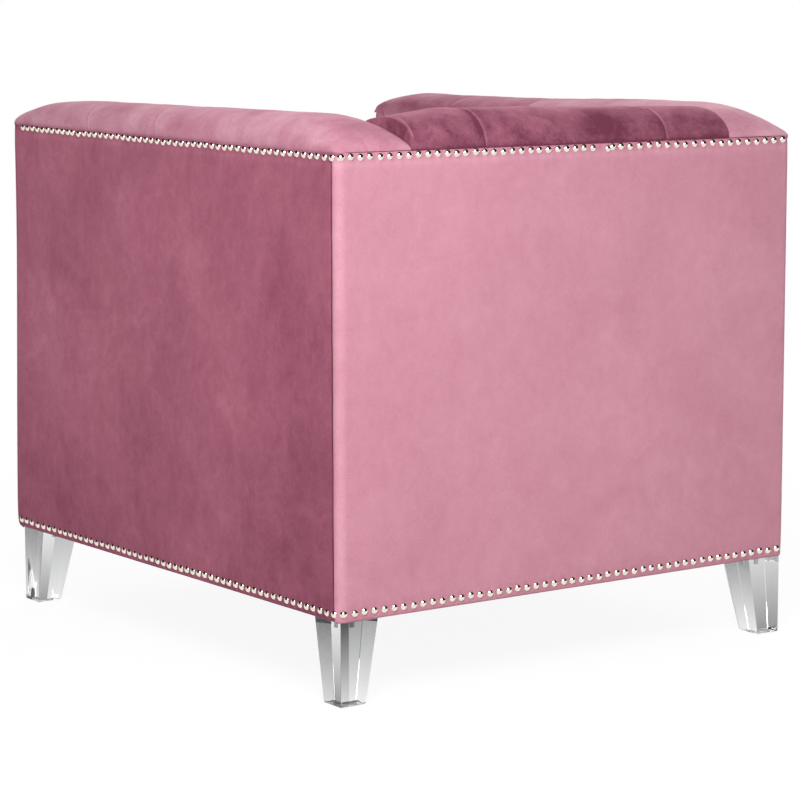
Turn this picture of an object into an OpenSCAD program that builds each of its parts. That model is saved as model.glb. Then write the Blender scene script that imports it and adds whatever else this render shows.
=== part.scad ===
// Square club chair with tufted inner pads, nailhead rows and clear block legs.
// Millimetres. The floor is z = 0, the origin is under the middle of the chair,
// the sitter faces -Y and the chair's own left arm is on the +X side.

/* [Overall size] */
// Width over the outer faces of the arms
overall_w = 788; // [680:2:1000]
// Depth from the front face to the outer back
overall_d = 870; // [800:10:1000]
// Height of the highest point of the top pads
crown_z = 772; // [755:1:830]
// Height of the body's lower edge above the floor
body_z = 114; // [90:2:180]
// Height of the back's upper edge, where the top pads begin
edge_z = 724; // [700:2:745]
// Rise of the arm's upper edge from the back to the front
arm_rise = 11; // [0:1:20]

/* [Arms and back] */
// Thickness of an arm with its pad
arm_t = 117; // [105:1:150]
// Thickness of the back at its top
back_t = 117; // [110:1:150]
// Thickness of the back at the height of the deck
back_foot_t = 235; // [200:5:280]
// Thickness of the outer covers on their boards
skin_t = 6; // [4:0.5:9]
// Thickness of the front panels
front_t = 8; // [6:0.5:12]
// Radius of the rounded upright rear corners
corner_r = 13; // [10:1:20]
// How far the back's cover runs along the side past the rounded corner, up to its seam
seam_past = 1; // [0.5:0.5:15]
// Thickness of the inner pads over their board or webbing
pad_t = 35; // [28:1:45]
// Thickness of the boards under the arm pads
board_t = 5; // [4:0.5:9]

/* [Frame] */
// Depth of each corner post
post_d = 50; // [46:1:70]
// Thickness of the seat rails and tack rails
rail_t = 25; // [20:1:30]
// Height of the seat rails
seat_rail_h = 160; // [120:5:180]
// Thickness of the flat rails that carry the top pads
cap_rail_t = 26; // [18:1:35]
// Side of the triangular corner blocks
block_side = 40; // [30:1:45]
// Height of the corner blocks
block_h = 90; // [60:5:110]
// Width of one webbing strap on the inside of the back
strap_w = 55; // [40:1:70]
// Number of webbing straps
strap_count = 4; // [3:1:5]

/* [Seat] */
// Number of serpentine springs
spring_count = 5; // [4:1:6]
// Radius of the bends of a spring
spring_bend_r = 21; // [16:0.5:23]
// Diameter of the spring wire
spring_wire = 3.8; // [3:0.1:4.5]
// Thickness of the felt that lies on the springs
felt_t = 4; // [2:0.5:6]
// Thickness of the deck's foam with its cloth
deck_t = 30; // [20:1:45]
// Thickness of the loose cushion at its seams
cushion_t = 145; // [110:5:170]
// How far the cushion's faces crown above their seams
cushion_crown = 16; // [6:1:25]
// How far the cushion's seams are drawn in from its boxing
seam_draw = 5; // [2:0.5:8]
// Room between the cushion and the pads around it
cushion_gap = 2; // [1:0.5:6]

/* [Tufting] */
// Share of the depth from one pleat to the next on the arms
arm_pleat_share = 0.218; // [0.18:0.002:0.23]
// Share of the depth from the chair's front to an arm's first pleat
arm_start_share = 0.24; // [0.2:0.005:0.27]
// Share of the width from one pleat to the next on the back
back_pleat_share = 0.396; // [0.3:0.002:0.41]
// Height of the upper row of buttons
button_row_z = 655; // [630:5:680]
// Distance between rows of buttons
row_drop = 100; // [80:5:110]
// Depth of a pleat on the inner face of a pad
pleat_depth = 9; // [4:0.5:12]
// Share of that depth which a pleat keeps over the rolled top
roll_pleat_share = 0.4; // [0.2:0.05:1]
// Further depth of the dimple that a button pulls
dimple_depth = 11; // [5:0.5:14]
// Diameter of a covered button
button_d = 24; // [18:1:30]
// Height of a covered button
button_h = 8; // [5:0.5:12]

/* [Nails] */
// Diameter of a nail's domed head
nail_d = 9.8; // [7:0.1:12]
// Height of the dome
nail_h = 2.8; // [1.5:0.1:4]
// Distance between nails
nail_pitch = 15.9; // [13:0.1:24]
// Diameter of a nail's shank
shank_d = 1.6; // [1.2:0.1:2.5]
// Length of a nail's shank
shank_len = 11; // [8:0.5:16]
// Distance of the rows from the body's upper and lower edges
nail_edge = 5.5; // [5:0.5:12]
// Distance of the bottom rows from the body's lower edge
nail_foot = 11.5; // [6:0.5:20]
// Distance of a row's last nail from a corner
nail_corner = 8; // [6:0.5:15]
// Distance of a side row's last nail from the back
nail_rear = 13; // [8:0.5:20]

/* [Legs] */
// Side of a leg at its top
leg_top = 60; // [50:1:75]
// Side of a leg at the floor
leg_foot = 40; // [30:1:50]
// Distance of a leg's outer faces from the body's faces
leg_inset = 5; // [2:0.5:12]
// Diameter of the bolt that holds a leg
bolt_d = 8; // [6:1:10]
// Length of the bolt inside the leg
bolt_in_leg = 12; // [10:1:45]
// Length of the bolt inside the post
bolt_in_post = 24; // [16:1:40]
// Thickness of the steel plate over a leg
plate_t = 2; // [1.5:0.5:3]
// Diameter of the glide under a leg
glide_d = 24; // [14:1:28]

/* [Hidden] */

// Smoothness of true round surfaces
$fn = 48;
// One overrun for every cut
overrun = 1;
// Room between a soft pad and what carries it
pad_gap = 0.3;
// Room round bolts and screws in their holes
hole_gap = 0.05;

// Colours seen in the photograph
side_pink = "#a35a70";
back_pink = "#d794a8";
pad_pink = "#c07d92";
nickel = "#e4e2dc";

half_w = overall_w / 2;
half_d = overall_d / 2;
// Faces of the frame behind the outer covers
frame_x = half_w - skin_t;
frame_back_y = half_d - skin_t;
frame_front_y = -half_d + front_t;
// Inner face of an arm's pad, of its board and of the frame inside it
arm_in_x = half_w - arm_t;
board_x = arm_in_x + pad_t;
frame_in_x = board_x + board_t;
// Inner face of the back at its top and at the deck
back_in_y = half_d - back_t;
back_foot_y = half_d - back_foot_t;
// Level where the frame stands on the plates and the dust cover
frame_z = body_z + plate_t;
seat_rail_z = frame_z + seat_rail_h;
// The springs lie on clips on the seat rails
clip_t = 1.5;
spring_r = spring_wire / 2;
spring_z = seat_rail_z + clip_t + spring_r;
felt_z = spring_z + spring_r;
deck_z = felt_z + felt_t;
deck_top_z = deck_z + deck_t;
// The tack rails pass over the springs
tack_lift = 3;
tack_z = felt_z + tack_lift;
tack_h = deck_top_z - tack_z;
board_lap_share = 0.65;
board_foot_z = tack_z + tack_h * board_lap_share;
cap_under_z = edge_z - cap_rail_t;

// Height of the body's upper edge along an arm, at the distance y
function edge_at(y) = edge_z + arm_rise * (half_d - y) / overall_d;

module frame_wood() {
    color("#c8a06a") children();
}

module on_both_sides() {
    children();
    mirror([1, 0, 0]) children();
}

module box_between(low, high) {
    translate(low) cube(high - low);
}

// A plate that lies in a plane square to X, drawn as [y, z] points
module plate_x(x, thick, points) {
    translate([x, 0, 0]) rotate([90, 0, 90]) linear_extrude(thick) polygon(points);
}

// Legs, plates, bolts and glides
leg_x = half_w - leg_inset - leg_top / 2;
leg_y = half_d - leg_inset - leg_top / 2;
glide_t = 3;
glide_proud = 1;
glide_gap = 0.1;
plate_in = 4;
plate_w = leg_top - 2 * plate_in;
screw_off = 17;
screw_d = 4;
screw_len = 28;
screw_head_d = 7.6;
screw_head_h = 1.9;

module at_legs() {
    for (sx = [-1, 1], sy = [-1, 1])
        translate([sx * leg_x, sy * leg_y, 0]) children();
}

// Upright outer face at zero, tapered inner face
function leg_side() = [
    [0, glide_proud], [-leg_foot, glide_proud], [-leg_top, body_z], [0, body_z]
];

// The leg stands with its two outer faces in the +X +Y corner
module leg_form() {
    intersection() {
        translate([0, overrun, 0]) rotate([90, 0, 0])
            linear_extrude(leg_top + 2 * overrun) polygon(leg_side());
        translate([overrun, 0, 0]) rotate([90, 0, -90])
            linear_extrude(leg_top + 2 * overrun) mirror([1, 0]) polygon(leg_side());
    }
}

module leg(sx, sy) {
    color("#dfe6ea", 0.5)
    difference() {
        translate([sx * (half_w - leg_inset), sy * (half_d - leg_inset), 0])
            mirror([sx < 0 ? 1 : 0, 0, 0]) mirror([0, sy < 0 ? 1 : 0, 0]) leg_form();
        translate([sx * leg_x, sy * leg_y, body_z - bolt_in_leg])
            cylinder(d = bolt_d + 2 * hole_gap, h = bolt_in_leg + overrun);
        translate([sx * glide_x, sy * glide_y, 0])
            cylinder(d = glide_d + 2 * glide_gap, h = glide_t);
    }
}

// The glide sits in the middle of the leg's foot
glide_x = half_w - leg_inset - leg_foot / 2;
glide_y = half_d - leg_inset - leg_foot / 2;

module leg_glides() {
    color("#e8e8e8")
    for (sx = [-1, 1], sy = [-1, 1])
        translate([sx * glide_x, sy * glide_y, 0]) cylinder(d = glide_d, h = glide_t);
}

module leg_plates() {
    color("#9a9da1")
    at_legs() difference() {
        translate([-plate_w / 2, -plate_w / 2, body_z]) cube([plate_w, plate_w, plate_t]);
        translate([0, 0, body_z - overrun])
            cylinder(d = bolt_d + 2 * hole_gap, h = plate_t + 2 * overrun);
        at_screws() screw_form(hole_gap);
    }
}

module at_screws() {
    for (sx = [-1, 1], sy = [-1, 1])
        translate([sx * screw_off, sy * screw_off, body_z]) children();
}

// Countersunk screw, head down, grown by a gap when it is cut from another piece
module screw_form(gap) {
    rotate_extrude($fn = 24) polygon([
        [0, 0], [screw_head_d / 2 + gap, 0], [screw_d / 2 + gap, screw_head_h + gap],
        [screw_d / 2 + gap, screw_len + gap], [0, screw_len + gap]
    ]);
}

module plate_screws() {
    color("#c9b46a") at_legs() at_screws() screw_form(0);
}

module leg_bolts() {
    color("#b8bcc0") at_legs()
        translate([0, 0, body_z - bolt_in_leg]) difference() {
            cylinder(d = bolt_d, h = bolt_in_leg + plate_t + bolt_in_post);
            // Driving socket in the bolt's top end
            translate([0, 0, bolt_in_leg + plate_t + bolt_in_post - socket_depth])
                cylinder(d = socket_d, h = socket_depth + overrun, $fn = 6);
        }
}
socket_share = 0.5;
socket_d = bolt_d * socket_share;
socket_depth = 4;

module leg_holes() {
    at_legs() {
        translate([0, 0, body_z])
            cylinder(d = bolt_d + 2 * hole_gap, h = plate_t + bolt_in_post + hole_gap);
        at_screws() screw_form(hole_gap);
    }
}

// Frame
module post_pair(y_low, y_high, top_z) {
    frame_wood() difference() {
        on_both_sides()
            box_between([frame_in_x, y_low, frame_z], [frame_x, y_high, top_z]);
        leg_holes();
    }
}

module rear_posts() {
    post_pair(frame_back_y - post_d, frame_back_y, cap_under_z);
}

module front_posts() {
    post_pair(frame_front_y, frame_front_y + post_d,
        edge_at(frame_front_y + post_d) - cap_rail_t);
}

module seat_rail_front() {
    frame_wood() box_between([-frame_in_x, frame_front_y, frame_z],
        [frame_in_x, frame_front_y + rail_t, seat_rail_z]);
}

module seat_rail_back() {
    frame_wood() box_between([-frame_in_x, frame_back_y - rail_t, frame_z],
        [frame_in_x, frame_back_y, seat_rail_z]);
}

module seat_rail_left() {
    frame_wood() box_between([frame_x - rail_t, frame_front_y + post_d, frame_z],
        [frame_x, frame_back_y - post_d, seat_rail_z]);
}

module seat_rail_right() {
    mirror([1, 0, 0]) seat_rail_left();
}

module arm_rail_left() {
    frame_wood() plate_x(frame_in_x, frame_x - frame_in_x, [
        [frame_front_y, edge_at(frame_front_y)],
        [frame_front_y, edge_at(frame_front_y) - cap_rail_t],
        [frame_back_y, edge_at(frame_back_y) - cap_rail_t],
        [frame_back_y, edge_at(frame_back_y)]
    ]);
}

module arm_rail_right() {
    mirror([1, 0, 0]) arm_rail_left();
}

// Front face of the rail that carries the back's webbing and top pad
strap_t = 2;
web_top_y = back_in_y + pad_t + strap_t;
web_foot_y = back_foot_y + pad_t + strap_t;

module back_rail() {
    frame_wood() box_between([-frame_in_x, web_top_y, cap_under_z],
        [frame_in_x, frame_back_y, edge_z]);
}

module tack_rail_left() {
    frame_wood() box_between([frame_in_x, frame_front_y + post_d, tack_z],
        [frame_in_x + rail_t, frame_back_y - post_d, tack_z + tack_h]);
}

module tack_rail_right() {
    mirror([1, 0, 0]) tack_rail_left();
}

module tack_rail_back() {
    frame_wood() box_between([-board_x, web_foot_y, tack_z],
        [board_x, web_foot_y + rail_t, tack_z + tack_h]);
}

// Glue blocks in the four corners, between a seat rail and the post beside it
block_lift = 20;
block_z = frame_z + block_lift;
block_screw_d = 4;
block_screw_len = 40;
block_screw_head_d = 8;
block_screw_head_h = 2.2;

function block_plan() = [[0, 0], [-block_side, 0], [0, -block_side]];

module at_blocks() {
    for (sx = [-1, 1], sy = [-1, 1])
        translate([
            sx * (frame_x - rail_t),
            sy > 0 ? frame_back_y - post_d : frame_front_y + post_d,
            block_z
        ])
        mirror([sx < 0 ? 1 : 0, 0, 0]) mirror([0, sy < 0 ? 1 : 0, 0]) children();
}

module block_screw(gap) {
    // Drives square to the block's long face, into the corner
    translate([-block_side / 2, -block_side / 2, block_h / 2]) rotate([0, 90, 45])
        rotate_extrude($fn = 24) polygon([
            [0, 0], [block_screw_head_d / 2 + gap, 0],
            [block_screw_d / 2 + gap, block_screw_head_h + gap],
            [block_screw_d / 2 + gap, block_screw_in + gap], [0, block_screw_in + gap]
        ]);
}
// The screw stops short of the corner where rail and post meet
block_screw_room = 2;
block_screw_in = block_side / 2 * sqrt(2) - block_screw_room;

module corner_blocks() {
    frame_wood() at_blocks() difference() {
        linear_extrude(block_h) polygon(block_plan());
        block_screw(hole_gap);
    }
}

module block_screws() {
    color("#c9b46a") at_blocks() block_screw(0);
}

// Serpentine springs of round wire, from the front rail to the back rail
spring_front_y = frame_front_y + rail_t / 2;
spring_back_y = frame_back_y - rail_t / 2;
spring_bends = 2 * round((spring_back_y - spring_front_y) / spring_bend_r / 4);
bend_step = (spring_back_y - spring_front_y) / spring_bends;
bend_r = bend_step / 2;
spring_bar = 22;
spring_side_room = 60;
spring_spread = 2 * (board_x - spring_side_room) / (spring_count - 1);

module spring_bar_form() {
    translate([-spring_bar / 2, 0, 0]) rotate([0, 90, 0])
        cylinder(r = spring_r, h = spring_bar, $fn = 24);
}

module spring_bend_form() {
    rotate([0, 0, -90]) rotate_extrude(angle = 180, $fn = 32)
        translate([bend_r, 0]) circle(r = spring_r, $fn = 24);
}

module spring_form() {
    for (k = [0:spring_bends])
        translate([0, spring_front_y + k * bend_step, 0]) spring_bar_form();
    for (k = [0:spring_bends - 1])
        translate([0, spring_front_y + (k + 0.5) * bend_step, 0])
            mirror([k % 2, 0, 0]) translate([spring_bar / 2, 0, 0]) spring_bend_form();
}

function spring_x(k) = (k - (spring_count - 1) / 2) * spring_spread;

module serpentine_springs() {
    color("#8d9298")
    for (k = [0:spring_count - 1])
        translate([spring_x(k), 0, spring_z]) spring_form();
}

// Each clip is a plate on the rail with a hood over the spring's end bar
clip_w = 18;
clip_d = 20;
clip_fit = 0.2;

module clip_form() {
    difference() {
        union() {
            translate([-clip_w / 2, -clip_d / 2, -spring_r - clip_t])
                cube([clip_w, clip_d, clip_t]);
            translate([-clip_w / 2, 0, 0]) rotate([0, 90, 0])
                cylinder(r = spring_r + clip_t, h = clip_w, $fn = 32);
        }
        translate([-clip_w / 2 - overrun, 0, 0]) rotate([0, 90, 0])
            cylinder(r = spring_r + clip_fit, h = clip_w + 2 * overrun, $fn = 32);
        // The lower half of the hood is flat with the rail
        translate([-clip_w, -clip_d, -spring_r - clip_t - clip_d])
            cube([2 * clip_w, 2 * clip_d, clip_d]);
    }
}

module spring_clips() {
    color("#6f757b")
    for (k = [0:spring_count - 1], y = [spring_front_y, spring_back_y])
        translate([spring_x(k), y, spring_z]) clip_form();
}

// Two straight wires tie the springs together from below
tie_r = 1.2;
tie_gap = 0.1;
tie_over = 30;
tie_half = spring_x(spring_count - 1) + tie_over;

module tie_wires() {
    color("#b9a98a")
    for (k = [1, 2])
        translate([-tie_half, spring_front_y + bend_step * round(spring_bends * k / 3),
            spring_z - spring_r - tie_r - tie_gap])
            rotate([0, 90, 0]) cylinder(r = tie_r, h = 2 * tie_half, $fn = 24);
}

// Deck
deck_front_y = frame_front_y + rail_t + pad_gap;
deck_back_y = back_foot_y + pad_t - pad_gap;
deck_x = board_x - pad_gap;

module spring_felt() {
    color("#7f7a72") box_between([-deck_x, deck_front_y, felt_z],
        [deck_x, deck_back_y, deck_z]);
}

module deck_pad() {
    color("#b3a08f") box_between([-deck_x, deck_front_y, deck_z],
        [deck_x, deck_back_y, deck_top_z]);
}

module arm_board_left() {
    color("#b98f5c") plate_x(board_x, board_t, [
        [frame_front_y, board_foot_z],
        [web_top_y, board_foot_z],
        [web_top_y, edge_at(web_top_y)],
        [frame_front_y, edge_at(frame_front_y)]
    ]);
}

module arm_board_right() {
    mirror([1, 0, 0]) arm_board_left();
}

// Webbing straps, tacked to the back rail and to the lower tack rail
strap_tab = 18;

module back_webbing() {
    color("#8a7b62")
    for (k = [0:strap_count - 1])
        plate_x((k - (strap_count - 1) / 2) * strap_pitch - strap_w / 2, strap_w, [
            [web_top_y, cap_under_z + strap_tab], [web_top_y - strap_t, cap_under_z + strap_tab],
            [web_top_y - strap_t, cap_under_z], [web_foot_y - strap_t, deck_top_z],
            [web_foot_y - strap_t, deck_top_z - strap_tab], [web_foot_y, deck_top_z - strap_tab],
            [web_foot_y, deck_top_z], [web_top_y, cap_under_z]
        ]);
}
strap_side_share = 0.3;
strap_pitch = 2 * board_x / (strap_count + strap_side_share);

// Outer covers on their boards
side_end_y = half_d - corner_r - seam_past;

module outer_side_left() {
    color(side_pink) plate_x(frame_x, skin_t, [
        [frame_front_y, body_z], [side_end_y, body_z],
        [side_end_y, edge_at(side_end_y)], [frame_front_y, edge_at(frame_front_y)]
    ]);
}

module outer_side_right() {
    mirror([1, 0, 0]) outer_side_left();
}

// The back's cover turns round both upright corners and ends at the side seams
module outer_back() {
    color(back_pink) translate([0, 0, body_z]) linear_extrude(edge_z - body_z)
        difference() {
            union() {
                translate([-half_w + corner_r, frame_back_y])
                    square([overall_w - 2 * corner_r, skin_t]);
                for (s = [-1, 1]) {
                    translate([s > 0 ? frame_x : -half_w, side_end_y])
                        square([skin_t, seam_past]);
                    intersection() {
                        translate([s * (half_w - corner_r), half_d - corner_r])
                            circle(r = corner_r);
                        translate([s > 0 ? half_w - corner_r : -half_w, half_d - corner_r])
                            square(corner_r);
                    }
                }
            }
            translate([-frame_x, -half_d]) square([2 * frame_x, half_d + frame_back_y]);
        }
}

// Front panels of the arms, with a rounded outer edge
front_edge_r = 6;

module arm_front_left() {
    color(side_pink) translate([0, 0, body_z])
        linear_extrude(edge_at(-half_d) - body_z) {
            translate([arm_in_x, -half_d])
                square([arm_t - front_edge_r, front_t]);
            translate([half_w - front_edge_r, -half_d + front_edge_r])
                square([front_edge_r, front_t - front_edge_r]);
            intersection() {
                translate([half_w - front_edge_r, -half_d + front_edge_r])
                    circle(r = front_edge_r);
                translate([half_w - front_edge_r, -half_d])
                    square(front_edge_r);
            }
        }
}

module arm_front_right() {
    mirror([1, 0, 0]) arm_front_left();
}

// Border in front of the seat rail, with a soft rolled top edge under the cushion
border_roll_r = 16;

module front_border() {
    border_back_y = frame_front_y + rail_t;
    color(side_pink) rotate([90, 0, 90])
        translate([0, 0, -arm_in_x]) linear_extrude(2 * arm_in_x) {
            translate([-half_d, body_z]) square([front_t, deck_top_z - border_roll_r - body_z]);
            translate([-half_d, seat_rail_z + clip_gap])
                square([border_back_y + half_d, deck_top_z - border_roll_r - seat_rail_z - clip_gap]);
            translate([-half_d + border_roll_r, deck_top_z - border_roll_r - overrun])
                square([border_back_y + half_d - border_roll_r, border_roll_r + overrun]);
            translate([-half_d + border_roll_r, deck_top_z - border_roll_r])
                circle(r = border_roll_r);
        }
}
// The border's roll starts above the spring clips
clip_room = 1;
clip_gap = 2 * clip_t + 2 * spring_r + clip_room;

module dust_cover() {
    cover_t = 1.2;
    color("#2c2c2e") difference() {
        box_between([-frame_x, frame_front_y, frame_z - cover_t],
            [frame_x, frame_back_y, frame_z]);
        at_legs() translate([-plate_w / 2 - plate_in, -plate_w / 2 - plate_in, 0])
            cube([plate_w + 2 * plate_in, plate_w + 2 * plate_in, frame_z + overrun]);
    }
}

// Soft forms
// Fullness of the rolled top, two for a plain ellipse
roll_full = 2.2;
// Share of the roll's height where the inner face turns upright
shoulder_share = 0.5;
// How far a pad's lip is drawn in at the nail rows
lip_in = 2;
// Length over which a pad's crown rounds down at the front and at the rear
front_round = 60;
rear_round = 90;
// Least height of a pad at its ends
end_h = 4;
// Width of a pleat's shoulders and of a dimple
pleat_w = 20;
dimple_w = 26;
// How far the arm's pleats drift rearwards from the crown to the nails
pleat_drift = 22;

arm_pleat_pitch = overall_d * arm_pleat_share;
back_pleat_pitch = overall_w * back_pleat_share;

function bow(s) = pow(max(0, 1 - pow(abs(s), roll_full)), 1 / roll_full);

// Distance of a value from its nearest whole number
function off_whole(v) = abs(v - round(v));

// Distance from the nearest pleat: straight over the roll, crossed below the buttons
function pleat_gap(p, z, first, pitch) = z >= button_row_z
    ? off_whole((p - first) / pitch) * pitch
    : let (down = (button_row_z - z) / row_drop / 2,
           lean = row_drop / norm([row_drop, pitch / 2]))
      min(off_whole((p - first) / pitch - down), off_whole((p - first) / pitch + down))
          * pitch * lean;

// Distance from the nearest button
function button_gap(p, z, first, pitch) =
    let (row = max(0, round((button_row_z - z) / row_drop)),
         start = first + (row % 2) * pitch / 2)
    norm([off_whole((p - start) / pitch) * pitch, button_row_z - row * row_drop - z]);

function tuft(p, z, first, pitch) =
    pleat_depth * exp(-pleat_gap(p, z, first, pitch) / pleat_w)
    + dimple_depth * exp(-pow(button_gap(p, z, first, pitch) / dimple_w, 2));

// How a pad's height falls away near an end, at the distance d from it
function end_share(d, round_len) = d >= round_len ? 1 : bow(1 - d / round_len);

// Two triangles for each side of each ring, and a fan on both ends
function strip_faces(rings, sides) = [
    for (k = [0:rings - 2], i = [0:sides - 1])
        let (a = k * sides + i, b = k * sides + (i + 1) % sides)
        each [[a, b, b + sides], [a, b + sides, a + sides]]
];

function fan_faces(first, sides, centre, turned) = [
    for (i = [0:sides - 1])
        let (a = first + i, b = first + (i + 1) % sides)
        turned ? [a, centre, b] : [a, b, centre]
];

// Angles of the points over the roll, from the lip to the shoulder
roll_steps = 5;
roll_angles = [for (k = [0:2 * roll_steps]) 90 * k / roll_steps];
// Heights of the points down the inner face, in quarter rows from the button row
face_step = row_drop / 4;
face_up = floor((edge_z - button_row_z) / face_step);
face_down = floor((button_row_z - deck_top_z) / face_step) - 1;
face_levels = [for (k = [face_up:-1:-face_down]) button_row_z + k * face_step];

// Share of a pad's thickness between the crowded last points of a short ring
fold_share = 0.05;

// Ring of an arm pad at y as [x, z] points, the last two behind the pad
arm_crown_x = half_w - lip_in - (arm_t - lip_in) / 2;
arm_half = (arm_t - lip_in) / 2;
arm_first_y = overall_d * arm_start_share - half_d;

function arm_roll_point(y, a, base, high) =
    let (out = a <= 90,
         c = pow(abs(cos(a)), 2 / roll_full),
         s = pow(sin(a), 2 / roll_full),
         drift = out ? pleat_drift * (1 - a / 90) : 0,
         dip = roll_pleat_share * pleat_depth * high / (crown_z - edge_z)
             * exp(-pleat_gap(y - drift, crown_z, arm_first_y, arm_pleat_pitch) / pleat_w)
             * sin(max(a, out ? 0 : 90)),
         low = out ? 0 : shoulder_share * high)
    [arm_crown_x + (out ? 1 : -1) * (arm_half * c - (out ? 0 : dip * c)),
     base + low + (high - low) * s - dip * s];

function arm_ring(y, whole) =
    let (base = edge_at(y) + pad_gap,
         share = min(end_share(half_d + y, front_round), end_share(half_d - y, rear_round)),
         high = end_h + (crown_z - base - end_h) * share,
         inner = board_x - pad_gap)
    concat(
        [for (a = roll_angles) arm_roll_point(y, a, base, high)],
        [for (i = [0:len(face_levels) - 1])
            let (z = face_levels[i])
            whole ? [arm_in_x + tuft(y, z, arm_first_y, arm_pleat_pitch), z]
                  : [arm_in_x + (inner - arm_in_x) * (i + 1) / (len(face_levels) + 2), base]],
        whole ? [[arm_in_x, deck_top_z + pad_gap], [inner, deck_top_z + pad_gap], [inner, base]]
              : [for (k = [2, 1, 0]) [inner - k * pad_t * fold_share, base]]
    );

// Stations along an arm: short steps round the ends, then an even share of a pleat
arm_steps = 7;
arm_step = arm_pleat_pitch / arm_steps;
// Where the added rings stand at the front and between the inner face and the rear lip
front_step_share = 0.6;
rear_step_shares = [0.45, 0.8, 0.98];
pad_lip_y = half_d - lip_in;
arm_face_back_y = web_top_y - pad_gap;
step_len = 0.6;
arm_stations = concat(
    [[-pad_lip_y, false], [frame_front_y, false], [frame_front_y + step_len, true],
     [frame_front_y + arm_step * front_step_share, true]],
    [for (k = [-floor((arm_first_y - frame_front_y - arm_step / 2) / arm_step)
            :floor((arm_face_back_y - arm_first_y - arm_step / 2) / arm_step)])
        [arm_first_y + k * arm_step, true]],
    [[arm_face_back_y - step_len, true], [arm_face_back_y, false]],
    [for (share = rear_step_shares)
        [arm_face_back_y + (pad_lip_y - arm_face_back_y) * share, false]],
    [[pad_lip_y, false]]
);

module arm_pad_left() {
    rings = [for (s = arm_stations) [for (p = arm_ring(s[0], s[1])) [p[0], s[0], p[1]]]];
    sides = len(rings[0]);
    count = len(rings);
    ends = [for (y = [-pad_lip_y, pad_lip_y]) [arm_crown_x, y, edge_at(y) + end_h / 2]];
    color(pad_pink) polyhedron(
        points = concat([for (r = rings) each r], ends),
        faces = concat(
            strip_faces(count, sides),
            fan_faces(0, sides, count * sides, true),
            fan_faces((count - 1) * sides, sides, count * sides + 1, false)
        )
    );
}

module arm_pad_right() {
    mirror([1, 0, 0]) arm_pad_left();
}

// Back pad: the same roll, with an inner face that slopes down to the deck
back_half = (back_t - lip_in) / 2;
back_crown_y = half_d - lip_in - back_half;
back_first_x = back_pleat_pitch / 2;
back_end_x = arm_in_x - pad_gap;
back_end_round = 40;
back_end_share = 0.62;
back_slope = (back_in_y - back_foot_y) / (edge_z - deck_top_z);
back_steps = 12;
back_step = back_pleat_pitch / back_steps;
back_reach = floor((back_end_x - back_step / 3) / back_step);

function back_face_y(z) = back_in_y - (edge_z - z) * back_slope;

function back_roll_point(x, a, base, high) =
    let (out = a <= 90,
         c = pow(abs(cos(a)), 2 / roll_full),
         s = pow(sin(a), 2 / roll_full),
         dip = roll_pleat_share * pleat_depth
             * exp(-pleat_gap(x, crown_z, back_first_x, back_pleat_pitch) / pleat_w)
             * sin(max(a, out ? 0 : 90)),
         low = out ? 0 : shoulder_share * high)
    [back_crown_y + (out ? 1 : -1) * (back_half * c - (out ? 0 : dip * c)),
     base + low + (high - low) * s - dip * s];

function back_ring(x) =
    let (base = edge_z + pad_gap,
         fall = end_share(back_end_x - abs(x), back_end_round),
         high = (crown_z - base) * (back_end_share + (1 - back_end_share) * fall),
         inner = web_top_y - strap_t - pad_gap)
    concat(
        [for (a = roll_angles) back_roll_point(x, a, base, high)],
        [for (z = face_levels) [back_face_y(z) + tuft(x, z, back_first_x, back_pleat_pitch), z]],
        [[back_foot_y, deck_top_z + pad_gap],
         [web_foot_y - strap_t - pad_gap, deck_top_z + pad_gap],
         [inner, cap_under_z], [inner, base]]
    );

module back_pad() {
    stations = concat(
        [-back_end_x],
        [for (k = [-back_reach:back_reach]) k * back_step],
        [back_end_x]
    );
    rings = [for (x = stations) [for (p = back_ring(x)) [x, p[0], p[1]]]];
    sides = len(rings[0]);
    count = len(rings);
    corner = sides - 1;
    color(pad_pink) polyhedron(
        points = [for (r = rings) each r],
        faces = concat(
            [for (f = strip_faces(count, sides)) [f[0], f[2], f[1]]],
            [for (i = [0:sides - 3]) [i, i + 1, corner]],
            [for (i = [0:sides - 3])
                let (b = (count - 1) * sides) [b + i, b + corner, b + i + 1]]
        )
    );
}

// Covered buttons in the dimples, drawn in shares of their radius and height
button_sunk = 2;
button_shares = [[0, 0], [0.8, 0], [1, 0.3], [0.92, 0.6], [0.62, 0.88], [0, 1]];

module button_form() {
    rotate_extrude($fn = 32)
        polygon([for (p = button_shares) [p[0] * button_d / 2, p[1] * button_h]]);
}

// Depth of the pad's surface in a dimple
button_seat = pleat_depth + dimple_depth - button_sunk;

module arm_buttons() {
    rows = [[0, 1, 2], [-0.5, 0.5, 1.5, 2.5]];
    for (r = [0:1], c = rows[r])
        translate([arm_in_x + button_seat + button_h / 2, arm_first_y + c * arm_pleat_pitch,
            button_row_z - r * row_drop])
            rotate([0, -90, 0]) button_form();
}

module buttons_left() {
    color(pad_pink) arm_buttons();
}

module buttons_right() {
    color(pad_pink) mirror([1, 0, 0]) arm_buttons();
}

module buttons_back() {
    spots = [[-1, 0], [1, 0], [0, 1]];
    lean = atan(back_slope);
    color(pad_pink) for (s = spots)
        translate([s[0] * back_first_x,
            back_face_y(button_row_z - s[1] * row_drop) + button_seat + button_h / 2,
            button_row_z - s[1] * row_drop])
            rotate([90 - lean, 0, 0]) button_form();
}

// Loose seat cushion
cushion_x = arm_in_x - cushion_gap;
cushion_front_y = -half_d + cushion_gap;
cushion_back_y = back_foot_y - cushion_gap;
cushion_z = deck_top_z + pad_gap;
cushion_corner_r = 30;
cushion_mid_y = (cushion_front_y + cushion_back_y) / 2;
cushion_half_y = (cushion_back_y - cushion_front_y) / 2;
crown_steps = 6;
crown_full = 3;
boxing_shares = [0, 0.3, 0.7, 1];

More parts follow.
